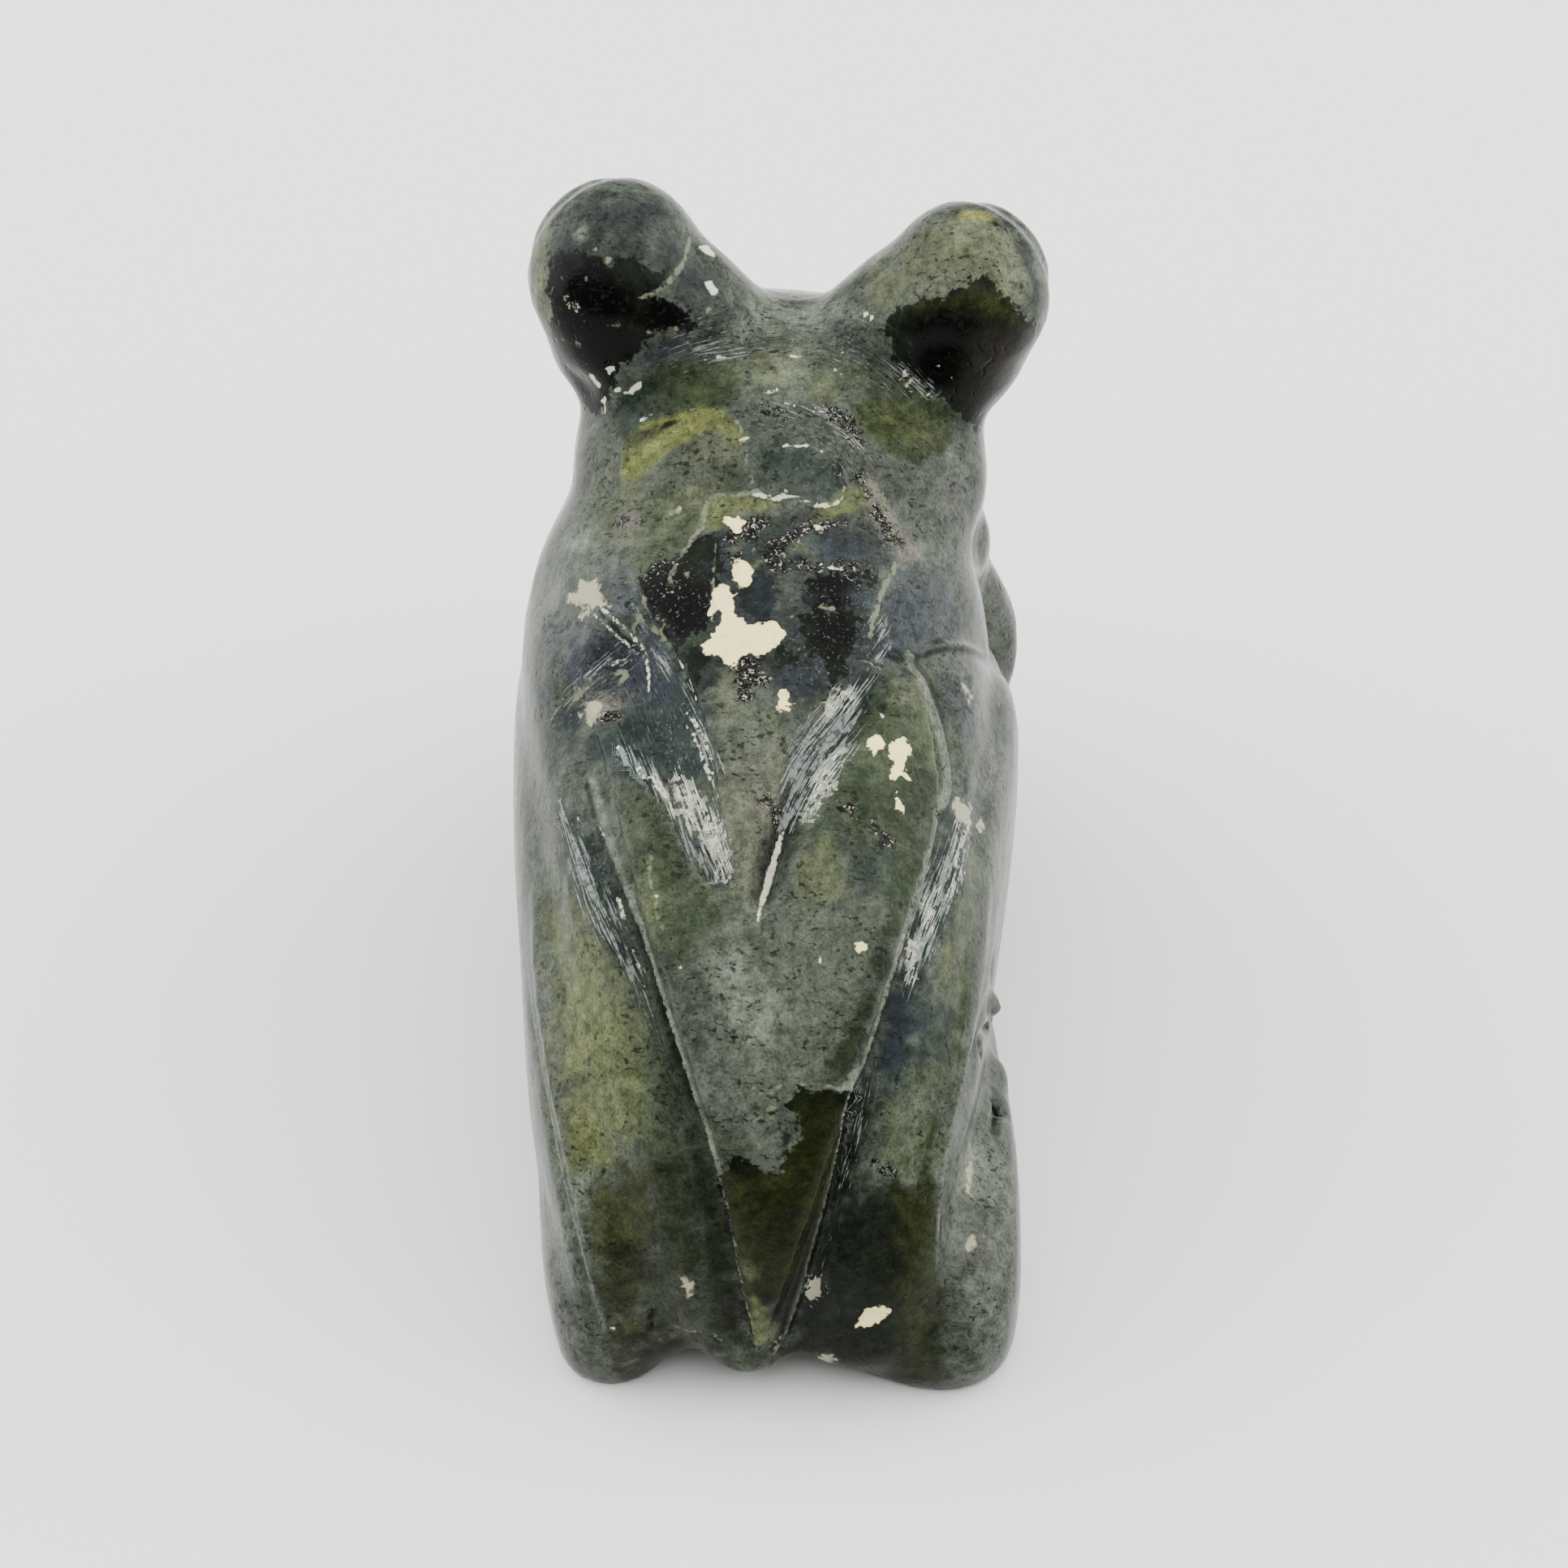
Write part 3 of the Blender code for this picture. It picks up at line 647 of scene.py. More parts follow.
tint(
    TEAL, 1.0, 1.1, 0.92,
    patch(
        (800, 812), (835, 818), (862, 855), (882, 915), (888, 950), (850, 968), (810, 955), (765, 925),
        (755, 890), (792, 862),
    ),
    patch((705, 892), (760, 890), (800, 940), (812, 968), (770, 958), (730, 940)),
    strip(
        [(1072, 845), (1040, 875), (1008, 925), (988, 970), (968, 1020), (950, 1060), (938, 1105)],
        (12, 20, 25, 20, 12, 9, 7),
    ),
)
tint(NAVY, 1.0, 1.0, 0.85, spots((798, 825, 28), (818, 848, 20)))
# The grooves beside the kite, from the knees down, and the lower legs are almost black; along the groove
# bottoms this is painted shade.
tint(NAVY, 0.7, 1.0, 0.8, strip([(846, 1030), (866, 1060), (886, 1088)], (5, 9, 6)))
tint(
    TEAL, 0.8, 1.0, 0.85,
    patch(
        (690, 1000), (715, 1000), (740, 1050), (760, 1100), (775, 1150), (790, 1200), (760, 1180),
        (735, 1140), (700, 1080),
    ),
    patch(
        (1165, 1000), (1190, 1020), (1190, 1080), (1160, 1150), (1130, 1220), (1105, 1220), (1125, 1140),
        (1150, 1060),
    ),
)
tint(TEAL, 0.9, 1.2, 0.9, patch(
    (1102, 1200), (1136, 1215), (1132, 1295), (1115, 1345), (1080, 1345), (1068, 1310),
))
tint(NAVY, 1.1, 1.6, 0.7, patch((1098, 1225), (1122, 1230), (1118, 1290), (1102, 1325), (1084, 1315)))
# Painted shade along the bottoms of the grooves beside the lower kite.
tint(
    BOTTLE, 0.9, 0.9, 0.9,
    strip(
        [(845, 1380), (860, 1430), (875, 1480), (886, 1540), (896, 1600), (906, 1640)],
        (-4, 4, 12, 16, 14, 12),
    ),
    strip(
        [(1072, 1330), (1052, 1400), (1038, 1450), (1020, 1520), (1002, 1590), (985, 1635)],
        (9, 11, 13, 15, 15, 10),
    ),
)
tint(PINE, 2.2, 1.4, 0.92, patch(
    (790, 1430), (830, 1400), (870, 1440), (895, 1520), (912, 1600), (926, 1665), (880, 1665), (840, 1655),
    (800, 1640), (790, 1500),
))
tint(BOTTLE, 1.1, 1.0, 0.92, patch(
    (1040, 1490), (1070, 1450), (1115, 1462), (1150, 1452), (1158, 1500), (1160, 1600), (1160, 1710),
    (1080, 1710), (1020, 1680), (975, 1660), (1005, 1570),
))
tint(LEAF, 1.5, 1.4, 0.5, patch((800, 1310), (835, 1330), (855, 1400), (820, 1420), (790, 1400)))
tint(
    MOSS, 1.6, 1.4, 0.85,
    strip([(838, 1320), (868, 1385), (890, 1440), (902, 1500), (915, 1580)], (2, 16, 26, 28, 26)),
)
tint(BRONZE, 1.4, 1.2, 0.8, strip([(890, 1455), (904, 1520), (916, 1590)], (8, 20, 22)))
tint(OLIVE, 1.0, 1.2, 0.85, patch(
    (735, 1475), (750, 1455), (772, 1428), (800, 1445), (806, 1500), (800, 1560), (790, 1640), (785, 1710),
    (758, 1680), (745, 1600), (738, 1540), (726, 1505),
))
tint(OLIVE, 1.0, 1.3, 0.55, patch(
    (1105, 1465), (1150, 1455), (1157, 1560), (1160, 1700), (1115, 1690), (1100, 1600),
))
tint(BOTTLE, 1.2, 1.4, 0.5, spots(
    (780, 1470, 14), (790, 1570, 16), (775, 1610, 14), (765, 1540, 8), (810, 1680, 20),
))
tint(
    UMBER, 1.0, 1.0, 0.9,
    patch((790, 1655), (840, 1645), (885, 1658), (850, 1700), (800, 1715), (770, 1710)),
    patch((955, 1660), (1010, 1650), (1080, 1675), (1120, 1712), (1040, 1715), (990, 1700)),
)
tint(MOSS, 1.2, 1.2, 0.5, spots((1175, 1665, 24), (1180, 1620, 14)))
tint(BOTTLE, 1.2, 1.2, 0.5, spots((775, 1660, 22), (785, 1690, 14)))
tint(STONE, 0.9, 0.9, 0.55, spots((850, 1585, 14), (860, 1608, 9), (1015, 1672, 12), (862, 1512, 9)))
tint(BOTTLE, 0.25, 0.4, 0.85, strip([(1152, 1370), (1145, 1405), (1140, 1440)], (2, 5, 4)))
# The eyes: slate on the left one and khaki on the right, with paler patches on their tops that are partly
# painted highlights.
tint(GRAPHITE, 1.6, 1.2, 0.92, spots(
    (760, 275, 60), (720, 300, 44), (820, 310, 34), (860, 350, 34), (800, 255, 24), (880, 390, 20),
    (720, 255, 20),
))
# Paler stone on the top of the left eye is partly a painted highlight.
tint(STONE, 1.0, 1.2, 0.55, spots(
    (800, 300, 20), (765, 245, 10), (880, 375, 14), (860, 300, 12), (745, 300, 10),
))
# A lime rim along the outer edge of the left eye is partly a painted highlight.
tint(LIME, 0.8, 0.5, 0.85, spots(
    (672, 290, 8), (666, 310, 12), (664, 345, 13), (670, 380, 13), (676, 395, 8),
))
tint(ASH, 0.4, 0.5, 0.9, spots((715, 289, 6), (720, 280, 4)))
tint(KHAKI, 2.0, 1.0, 0.95, spots((1150, 320, 60), (1210, 300, 50), (1250, 330, 36), (1090, 350, 26)))
tint(SHELL, 1.2, 1.4, 0.5, spots((1236, 335, 14)))
# Pale ash and lime on the top of the right eye are partly painted highlights.
tint(ASH, 1.2, 1.4, 0.45, spots(
    (1210, 318, 26), (1235, 340, 22), (1180, 340, 18), (1190, 290, 16), (1140, 355, 12),
))
tint(LIME, 1.6, 1.2, 0.45, spots((1190, 300, 40), (1230, 340, 30)))
tint(GRASS, 1.2, 1.0, 0.5, spots((1125, 330, 22), (1095, 352, 16), (1145, 300, 14)))
tint(CITRON, 0.6, 0.6, 1.0, spots((1196, 266, 12), (1210, 266, 11)))
tint(UMBER, 0.5, 0.6, 0.5, spots((1226, 276, 6), (1178, 262, 5), (1207, 293, 5), (1190, 312, 6)))
tint(
    GRAPHITE, 0.5, 0.8, 0.9,
    strip([(1240, 266), (1257, 298), (1268, 328), (1277, 352), (1274, 384)], (6, 9, 9, 9, 6)),
)
# The neck: dark green where it runs down from the left eye, and grass green with a crisp end on the right.
tint(
    SLATE, 0.8, 1.0, 0.7,
    strip([(770, 460), (800, 440), (840, 425), (870, 425)], (8, 12, 10, 5)),
    strip([(1030, 395), (1045, 420), (1060, 440)], (6, 10, 6)),
)
tint(MOSS, 0.9, 1.0, 0.9, patch(
    (752, 510), (770, 475), (800, 455), (850, 442), (890, 450), (905, 485), (880, 503), (835, 510),
    (790, 532), (768, 538),
))
tint(TEAL, 0.8, 0.8, 0.8, spots((775, 500, 16), (800, 480, 12), (772, 525, 10)))
tint(GRASS, 1.0, 1.2, 0.55, patch((830, 470), (880, 460), (890, 490), (850, 505), (825, 500)))
tint(LEAF, 1.2, 1.0, 0.7, strip([(1010, 445), (1070, 470), (1120, 490), (1160, 510)], (14, 18, 22, 14)))
tint(MOSS, 0.9, 0.8, 0.85, strip([(1105, 480), (1150, 505), (1190, 525)], (10, 12, 9)))
tint(GRASS, 0.16, 0.25, 0.95, patch(
    (1050, 500), (1085, 490), (1120, 498), (1150, 510), (1168, 524), (1173, 536), (1166, 551), (1150, 559),
    (1144, 567), (1128, 571), (1108, 563), (1080, 547), (1058, 522),
))
tint(BOTTLE, 0.5, 0.9, 0.6, spots(
    (1100, 545, 8), (1125, 558, 8), (1150, 548, 7), (1080, 530, 7), (1110, 515, 6),
))
tint(LIME, 0.4, 0.7, 0.6, strip([(1085, 508), (1115, 525), (1145, 540)], (3, 4, 3)))
tint(STONE, 0.8, 1.0, 0.8, patch((940, 500), (1000, 498), (1050, 510), (1060, 550), (1000, 552), (945, 540)))
# A mustard arc with a worn rim lies behind the left eye.
tint(KHAKI, 0.4, 0.5, 0.8, patch(
    (838, 560), (858, 535), (890, 515), (908, 524), (916, 545), (918, 566), (880, 572),
))
tint(MUSTARD, 0.14, 0.16, 0.95, patch(
    (771, 548), (776, 534), (792, 524), (812, 518), (832, 511), (852, 507), (872, 505), (890, 507),
    (904, 516), (914, 532), (916, 550), (906, 546), (892, 532), (866, 534), (843, 547), (814, 567),
    (788, 588), (768, 597), (766, 575),
))
tint(
    CITRON, 0.4, 0.3, 0.4,
    strip([(772, 582), (790, 562), (815, 543), (845, 528), (870, 520)], (5, 6, 5, 4, 2)),
    strip([(790, 526), (815, 519), (845, 511), (872, 508), (892, 511)], (1, 2, 3, 3, 2)),
)
tint(LIME, 0.6, 0.4, 0.6, spots((888, 528, 11), (903, 543, 9)))
tint(OLIVE, 0.35, 0.4, 0.85, strip([(776, 547), (790, 538), (808, 532)], (5, 7, 5)))
# A soft brown band painted as shadow under the arc.
tint(UMBER, 0.6, 0.4, 0.55, strip([(812, 575), (830, 562), (850, 550), (872, 540)], (1, 4, 5, 2)))
tint(UMBER, 0.10, 0.10, 0.95, strip([(815, 529), (826, 521), (838, 516)], (2, 4.5, 1.5)))
tint(
    LIME, 0.15, 0.3, 0.9,
    patch(
        (862, 656), (868, 635), (873, 618), (888, 609), (925, 609), (948, 614), (962, 622), (950, 630),
        (915, 631), (896, 640), (884, 654),
    ),
    patch(
        (1030, 614), (1044, 598), (1062, 602), (1070, 622), (1052, 633), (1028, 641), (998, 637),
        (1008, 626),
    ),
)
# The ground of the back patch is graphite, with slate clouds and grey-green windows.
tint(GRAPHITE, 0.35, 1.0, 0.95, patch(
    (792, 712), (812, 694), (836, 682), (858, 660), (890, 655), (925, 632), (960, 640), (1000, 642),
    (1050, 640), (1086, 660), (1092, 690), (1080, 730), (1076, 775), (1062, 815), (1046, 850), (1000, 866),
    (962, 860), (945, 830), (915, 830), (885, 822), (862, 852), (846, 845), (818, 790), (796, 750),
))
tint(STONE, 0.4, 1.2, 0.65, spots(
    (985, 680, 16), (972, 720, 16), (1000, 650, 9), (938, 690, 8), (892, 720, 9), (966, 745, 9),
))
tint(KHAKI, 0.4, 0.9, 0.7, spots((982, 678, 9), (992, 690, 6), (935, 694, 5), (910, 672, 6)))
tint(SLATE, 0.5, 1.3, 0.5, spots(
    (1028, 670, 20), (1050, 680, 12), (1075, 740, 12), (980, 840, 18), (1010, 830, 14), (900, 700, 8),
))
tint(MOSS, 0.4, 1.0, 0.8, spots((850, 785, 10), (884, 800, 5), (950, 650, 10), (1015, 860, 10)))
# Painted shade darkens the angle beside the knee's edge and the gaps between the toes, and a painted
# highlight runs along each shin's edge.
tint(
    COAL, 0.15, 0.25, 0.75,
    between(from_knee, 0.02, 0.35),
    strip([(1218, 1266), (1212, 1272), (1207, 1284), (1210, 1298)], (3, 4, 4, 2)),
    strip([(1230, 1364), (1226, 1376), (1222, 1392)], (3, 4, 1)),
)
# A painted highlight in pale ash along the crest of each shin.
tint(ASH, 0.15, 0.10, 0.75, between(from_shin_left, -0.22, 0.02), between(from_shin_right, -0.22, 0.02))
tint(LIME, 0.5, 0.5, 0.6, strip([(938, 1560), (928, 1600), (938, 1645)], (3, 8, 9)))

# Black, dark green and dark olive stone lies in the grey with crisp edges, so it is a second skin of colour,
# and the material draws its edge from the distance to it.
dark = np.array(BOTTLE) * (1 + 0.3 * blots[:, None])
tint(
    COAL, 1.2, 0.8, 0.95,
    spots(
        (720, 370, 60), (740, 420, 50), (730, 480, 26), (830, 388, 36), (1160, 420, 40), (1150, 460, 30),
        (835, 750, 40), (1020, 730, 34), (1030, 780, 30),
    ),
    skin=dark,
)
tint(BOTTLE, 0.5, 0.6, 0.9, spots((780, 335, 22), (800, 345, 14)), skin=dark)
tint(
    SLATE, 0.8, 1.2, 0.45,
    spots(
        (935, 715, 22), (932, 745, 22), (955, 735, 12), (1060, 730, 12), (1065, 770, 10), (870, 700, 10),
        (1000, 735, 8),
    ),
    skin=dark,
)
tint(
    UMBER, 1.2, 0.8, 0.95,
    spots((1235, 430, 34), (1220, 470, 30), (1200, 440, 14), (1255, 410, 20)),
    skin=dark,
)
tint(
    STONE, 0.9, 0.5, 0.45,
    spots((1268, 415, 10), (1256, 440, 8), (1240, 465, 6), (1278, 400, 8)),
    skin=dark,
)
tint(
    OLIVE, 0.7, 0.8, 0.8,
    strip([(1130, 380), (1185, 368), (1222, 370), (1250, 388)], (2, 12, 16, 8)),
    skin=dark,
)
tint(BRONZE, 1.5, 1.0, 0.95, spots((1000, 1400, 50), (980, 1480, 50), (950, 1550, 44)), skin=dark)
tint(
    OLIVE, 1.1, 1.1, 0.75,
    strip([(895, 1450), (905, 1500), (918, 1550), (928, 1600)], (12, 14, 10, 12)),
    spots((1025, 1420, 8), (955, 1450, 10)),
    skin=dark,
)
tint(
    KHAKI, 0.8, 0.6, 0.7,
    spots((942, 1612, 8), (950, 1640, 14), (940, 1650, 12), (925, 1570, 4)),
    skin=dark,
)

# Along the kite's edges the file left a worn, paler rim, lit further by a painted highlight along the crest,
# and painted shade darkens the angle beside each edge on the low side.
for skin, left_rim, right_rim, rim_wear_and_highlight in ((body, 0.60, 1.05, 0.80), (dark, 0.14, 0.28, 0.40)):
    tint(
        BRIM, 0.16, 0.06, rim_wear_and_highlight,
        between(from_kite_left, -left_rim, -0.02),
        between(from_kite_right, -right_rim, -0.02),
        skin=skin,
    )
    tint(
        ASH, 0.10, 0.0, 0.5 * rim_wear_and_highlight,
        between(from_kite_left, -0.10, 0.0),
        between(from_kite_right, -0.10, 0.0),
        skin=skin,
    )
    tint(
        BOTTLE, 0.18, 0.25, 0.75,
        between(from_kite_left, 0.12, 0.60),
        between(from_kite_right, 0.12, 0.75),
        skin=skin,
    )
    tint(LIME, 0.4, 0.4, 0.7, strip([(930, 1600), (940, 1645)], (6, 12)), skin=skin)


def paint(name, *fields):
    attribute = stone.data.attributes.new(name, "FLOAT", "POINT")
    attribute.data.foreach_set("value", np.minimum.reduce(fields).astype(np.float32))


def paint_colour(name, skin):
    attribute = stone.data.attributes.new(name, "FLOAT_COLOR", "POINT")
    colours = np.ones((len(places), 4), np.float32)
    colours[:, :3] = skin
    attribute.data.foreach_set("color", colours.ravel())


paint(
    "dark",
    patch(
        (678, 312), (705, 308), (735, 313), (748, 326), (765, 317), (790, 322), (806, 335), (822, 340),
        (812, 354), (800, 362), (818, 366), (838, 376), (852, 392), (862, 409), (830, 407), (800, 413),
        (792, 432), (765, 450), (755, 478), (746, 502), (734, 510), (718, 500), (700, 470), (682, 440),
        (676, 415), (682, 385), (674, 350),
    ),
    patch(
        (1097, 388), (1130, 373), (1162, 366), (1180, 356), (1195, 345), (1206, 339), (1222, 345),
        (1233, 360), (1234, 366), (1247, 366), (1254, 380), (1266, 394), (1300, 402), (1290, 440),
        (1262, 472), (1232, 505), (1204, 530), (1185, 512), (1165, 497), (1135, 470), (1106, 449),
        (1098, 425), (1084, 402),
    ),
    patch(
        (788, 716), (800, 702), (830, 690), (850, 668), (875, 657), (888, 665), (890, 700), (880, 730),
        (872, 760), (868, 780), (850, 785), (836, 800), (820, 785), (800, 755),
    ),
    patch((840, 800), (862, 796), (872, 812), (862, 838), (856, 862), (846, 846)),
    patch((913, 712), (930, 706), (950, 712), (958, 735), (952, 765), (935, 768), (918, 752), (908, 735)),
    patch(
        (988, 738), (996, 716), (1015, 706), (1040, 704), (1056, 712), (1052, 740), (1030, 748), (1000, 750),
    ),
    patch(
        (985, 752), (1010, 756), (1046, 748), (1058, 765), (1050, 800), (1040, 838), (1024, 850),
        (1015, 815), (990, 800),
    ),
    patch((955, 800), (975, 796), (985, 812), (965, 822), (952, 815)),
    patch((1066, 700), (1082, 705), (1078, 725), (1068, 722)),
    patch((922, 655), (938, 660), (935, 675), (922, 670)),
    patch(
        (970, 1362), (980, 1346), (986, 1338), (1000, 1344), (1018, 1341), (1036, 1346), (1060, 1334),
        (1048, 1380), (1034, 1430), (1024, 1478), (1010, 1530), (994, 1585), (975, 1640), (948, 1664),
        (928, 1656), (914, 1600), (904, 1540), (892, 1490), (884, 1456), (905, 1425), (928, 1432),
        (945, 1447), (960, 1445), (968, 1420), (990, 1400), (980, 1376),
    ),
)
paint_colour("dark_colour", dark)

# Where the file was left to show: the line that its strokes ran along, how wide it worked, and how hard
# it bit.
filed = np.zeros(len(places))
stroke_along = np.zeros(len(places))
stroke_across = np.zeros(len(places))
for pixels, half_widths, bite in (
    ([(752, 765), (806, 865), (850, 970), (890, 1085)], (56, 64, 44, 20), 0.5),
    ([(1085, 830), (1035, 900), (990, 960), (955, 1040), (938, 1105)], (22, 32, 30, 14, 8), 1.0),
    ([(690, 985), (735, 1105), (778, 1200), (812, 1290), (850, 1390)], (22, 30, 20, 12, 8), 0.9),
    ([(1190, 995), (1165, 1080), (1138, 1150), (1110, 1240)], (18, 26, 28, 18), 1.0),
    ([(1085, 1290), (1060, 1400), (1035, 1480), (1005, 1600)], (12, 12, 10, 10), 0.7),
    ([(780, 455), (880, 420), (980, 412), (1070, 440), (1140, 500)], (30, 50, 60, 56, 30), 0.9),
    ([(930, 500), (990, 520), (1050, 560), (1090, 640), (1110, 700)], (30, 44, 36, 30, 24), 1.0),
    ([(1030, 470), (1085, 500), (1130, 540), (1158, 572)], (20, 34, 30, 16), 0.45),
    ([(672, 905), (722, 850), (790, 790)], (34, 50, 34), 0.9),
    ([(668, 800), (690, 770), (716, 735)], (24, 34, 24), 0.4),
    ([(1120, 560), (1150, 620), (1190, 700)], (40, 40, 30), 0.35),
    ([(672, 690), (700, 640), (760, 590)], (30, 40, 30), 0.3),
    ([(1110, 700), (1100, 760), (1070, 810)], (34, 34, 22), 0.5),
    ([(1150, 830), (1190, 880), (1200, 960)], (30, 34, 26), 0.4),
):
    line = traced(*pixels)
    length = np.linalg.norm(np.diff(line, axis=0), axis=1).sum()
    far, side, along = beside(line)
    here = bite * eased(1.2 - far * PIXELS_A_METRE / spread(along, half_widths) + 0.25 * ragged)
    here *= eased(along / 0.08) * eased((1 - along) / 0.12)
    stronger = here > filed
    filed[stronger] = here[stronger]
    stroke_along[stronger] = along[stronger] * length
    stroke_across[stronger] = (far * side)[stronger]
paint("filed", filed)
paint("stroke_along", stroke_along * 1000)
paint("stroke_across", stroke_across * 1000)
paint_colour("stone_colour", body)
# Chalk is the white stone under the skin, drawn out by the strokes, and scuffs are its thin grey traces.
paint(
    "chalk",
    np.maximum(
        patch(
            (832, 954), (846, 960), (858, 974), (866, 984), (878, 998), (889, 1016), (898, 1028),
            (893, 1038), (895, 1056), (893, 1088), (886, 1070), (878, 1050), (864, 1032), (848, 1014),
            (820, 1000), (834, 994), (816, 970), (838, 980),
        ),
        -spots(
            (838, 991, 6), (861, 1015, 4), (873, 1029, 4), (889, 1032, 4), (880, 1056, 4), (869, 1003, 3),
        ),
    ),
    patch((804, 956), (814, 966), (822, 982), (812, 972)),
    patch((1186, 1010), (1192, 1012), (1190, 1040), (1182, 1070), (1172, 1100), (1178, 1065), (1184, 1036)),
    patch((1036, 852), (1050, 848), (1056, 862), (1044, 876), (1034, 868)),
    patch((1016, 866), (1028, 860), (1026, 876), (1014, 882)),
    patch((1026, 928), (1038, 926), (1032, 944), (1024, 956), (1016, 954)),
    patch((1004, 956), (1026, 952), (1034, 964), (1018, 978), (1008, 992), (996, 984), (1000, 968)),
    patch((996, 988), (1012, 990), (1006, 1006), (992, 1012)),
    patch((1146, 1102), (1154, 1098), (1152, 1130), (1142, 1158), (1140, 1140)),
    patch((1120, 1160), (1132, 1158), (1130, 1180), (1122, 1212), (1117, 1190)),
    patch((1000, 1576), (1010, 1572), (1010, 1594), (1000, 1606), (996, 1596)),
)
paint(
    "scuff",
    strip([(1064, 846), (1035, 880), (1005, 930), (985, 975), (966, 1012)], (0, 17, 27, 17, 2)),
    strip([(1182, 1008), (1172, 1070), (1152, 1115), (1135, 1160), (1118, 1225)], (-4, 6, 14, 10, -8)),
    strip([(692, 1002), (712, 1060), (738, 1120), (775, 1190), (805, 1255)], (0, 5, 4, -2, -8)),
    strip([(822, 985), (845, 1035), (878, 1085)], (-6, 4, 2)),
    strip([(775, 735), (792, 770), (812, 808), (845, 860)], (-9, -4, -5, -10)),
    strip([(845, 860), (864, 910), (886, 950)], (-6, -2, -4)),
    strip([(770, 925), (800, 960), (818, 980)], (3, 5, 5)),
    strip([(690, 865), (720, 835), (780, 800)], (-10, -6, -10)),
    strip([(1060, 1345), (1050, 1410), (1042, 1460)], (-9, -6, -9)),
    strip([(1112, 455), (1140, 480), (1168, 500)], (-4, 0, -6)),
    strip([(830, 418), (880, 432), (930, 442)], (-8, -4, -8)),
    strip([(950, 496), (1020, 512), (1060, 550)], (-8, -4, -8)),
    strip([(1075, 745), (1090, 790), (1060, 830)], (-10, -3, -8)),
)

# Cream inclusions, thin pale veins and clusters of tiny dark crystals keep crisp edges as well.
paint(
    "cream",
    patch(
        (862, 798), (878, 782), (890, 762), (902, 752), (912, 760), (920, 768), (945, 770), (952, 764),
        (962, 772), (974, 777), (962, 790), (950, 802), (935, 806), (915, 806), (905, 826), (893, 818),
        (885, 806), (868, 804),
    ),
    patch((905, 692), (918, 690), (929, 706), (922, 722), (913, 728), (903, 712)),
    patch((880, 722), (898, 722), (903, 740), (906, 756), (892, 762), (884, 748), (872, 768)),
    patch((890, 640), (906, 636), (918, 642), (916, 654), (908, 657), (898, 648)),
    patch((1066, 912), (1080, 903), (1091, 912), (1088, 924), (1078, 922), (1083, 936), (1073, 928)),
    patch(
        (1098, 915), (1108, 908), (1119, 914), (1123, 930), (1117, 934), (1114, 948), (1124, 964),
        (1110, 956), (1100, 962), (1092, 952), (1102, 942), (1094, 930),
    ),
    patch((1100, 978), (1106, 978), (1112, 990), (1114, 1004), (1104, 996)),
    patch((961, 848), (968, 850), (977, 872), (966, 880), (958, 872)),
    patch((1003, 1172), (1012, 1180), (1018, 1193), (1010, 1190)),
    patch((1053, 1162), (1064, 1160), (1069, 1168), (1063, 1173), (1053, 1169)),
    patch(
        (1052, 1638), (1062, 1624), (1065, 1612), (1080, 1612), (1088, 1608), (1097, 1616), (1086, 1626),
        (1076, 1634),
    ),
)
# Duller ones have worn down, and the smaller chips are whiter.
paint(
    "tallow",
    patch(
        (702, 732), (714, 726), (714, 713), (724, 718), (736, 711), (737, 724), (743, 738), (760, 749),
        (742, 744), (730, 752), (722, 743), (710, 746), (698, 741),
    ),
    patch(
        (718, 866), (730, 866), (744, 861), (741, 874), (734, 884), (727, 897), (722, 884), (710, 884),
        (722, 876),
    ),
    patch((710, 760), (722, 751), (728, 754), (716, 763)),
    patch((1172, 993), (1178, 983), (1184, 988), (1192, 988), (1198, 1000), (1190, 1016), (1182, 1012)),
    patch((1205, 1006), (1213, 1018), (1210, 1026), (1204, 1016)),
    patch((1196, 1428), (1198, 1446), (1194, 1462), (1199, 1480), (1190, 1462), (1190, 1448)),
    patch((1191, 1525), (1200, 1524), (1203, 1536), (1196, 1545), (1190, 1538)),
    patch((838, 1577), (848, 1575), (854, 1590), (848, 1599)),
    patch((1010, 1672), (1024, 1668), (1030, 1674), (1018, 1680)),
    patch((996, 1596), (1000, 1580), (1012, 1574), (1010, 1592), (1000, 1606)),
    patch((820, 633), (836, 627), (830, 633)),
    patch((1184, 842), (1190, 844), (1198, 862), (1194, 866)),
)
paint(
    "chips",
    patch((860, 304), (873, 302), (882, 316), (872, 315)),
    patch((868, 347), (876, 345), (886, 360), (878, 366)),
    patch((724, 460), (730, 460), (741, 476), (737, 478)),
    patch((745, 453), (755, 451), (757, 458), (752, 462)),
    patch((756, 481), (763, 476), (768, 480), (762, 486)),
    patch((771, 487), (778, 476), (790, 469), (789, 478), (781, 484)),
    patch((740, 495), (744, 489), (748, 488), (747, 497)),
    patch((742, 505), (747, 504), (746, 511)),
    patch((782, 521), (793, 513), (804, 509), (797, 516)),
    patch((1003, 645), (1012, 648), (1014, 656), (1006, 656)),
    patch((1080, 876), (1087, 880), (1092, 890), (1086, 888)),
    patch((751, 1634), (757, 1634), (759, 1640), (754, 1639)),
    patch((760, 1106), (765, 1108), (771, 1134), (766, 1132)),
    patch((963, 1024), (966, 1026), (958, 1060), (950, 1090), (930, 1146), (938, 1102), (948, 1066)),
    spots(
        (878, 742, 4), (1066, 388, 5), (1073, 392, 4), (808, 1104, 3), (837, 1192, 3), (760, 921, 3),
        (749, 397, 2),
    ),
)
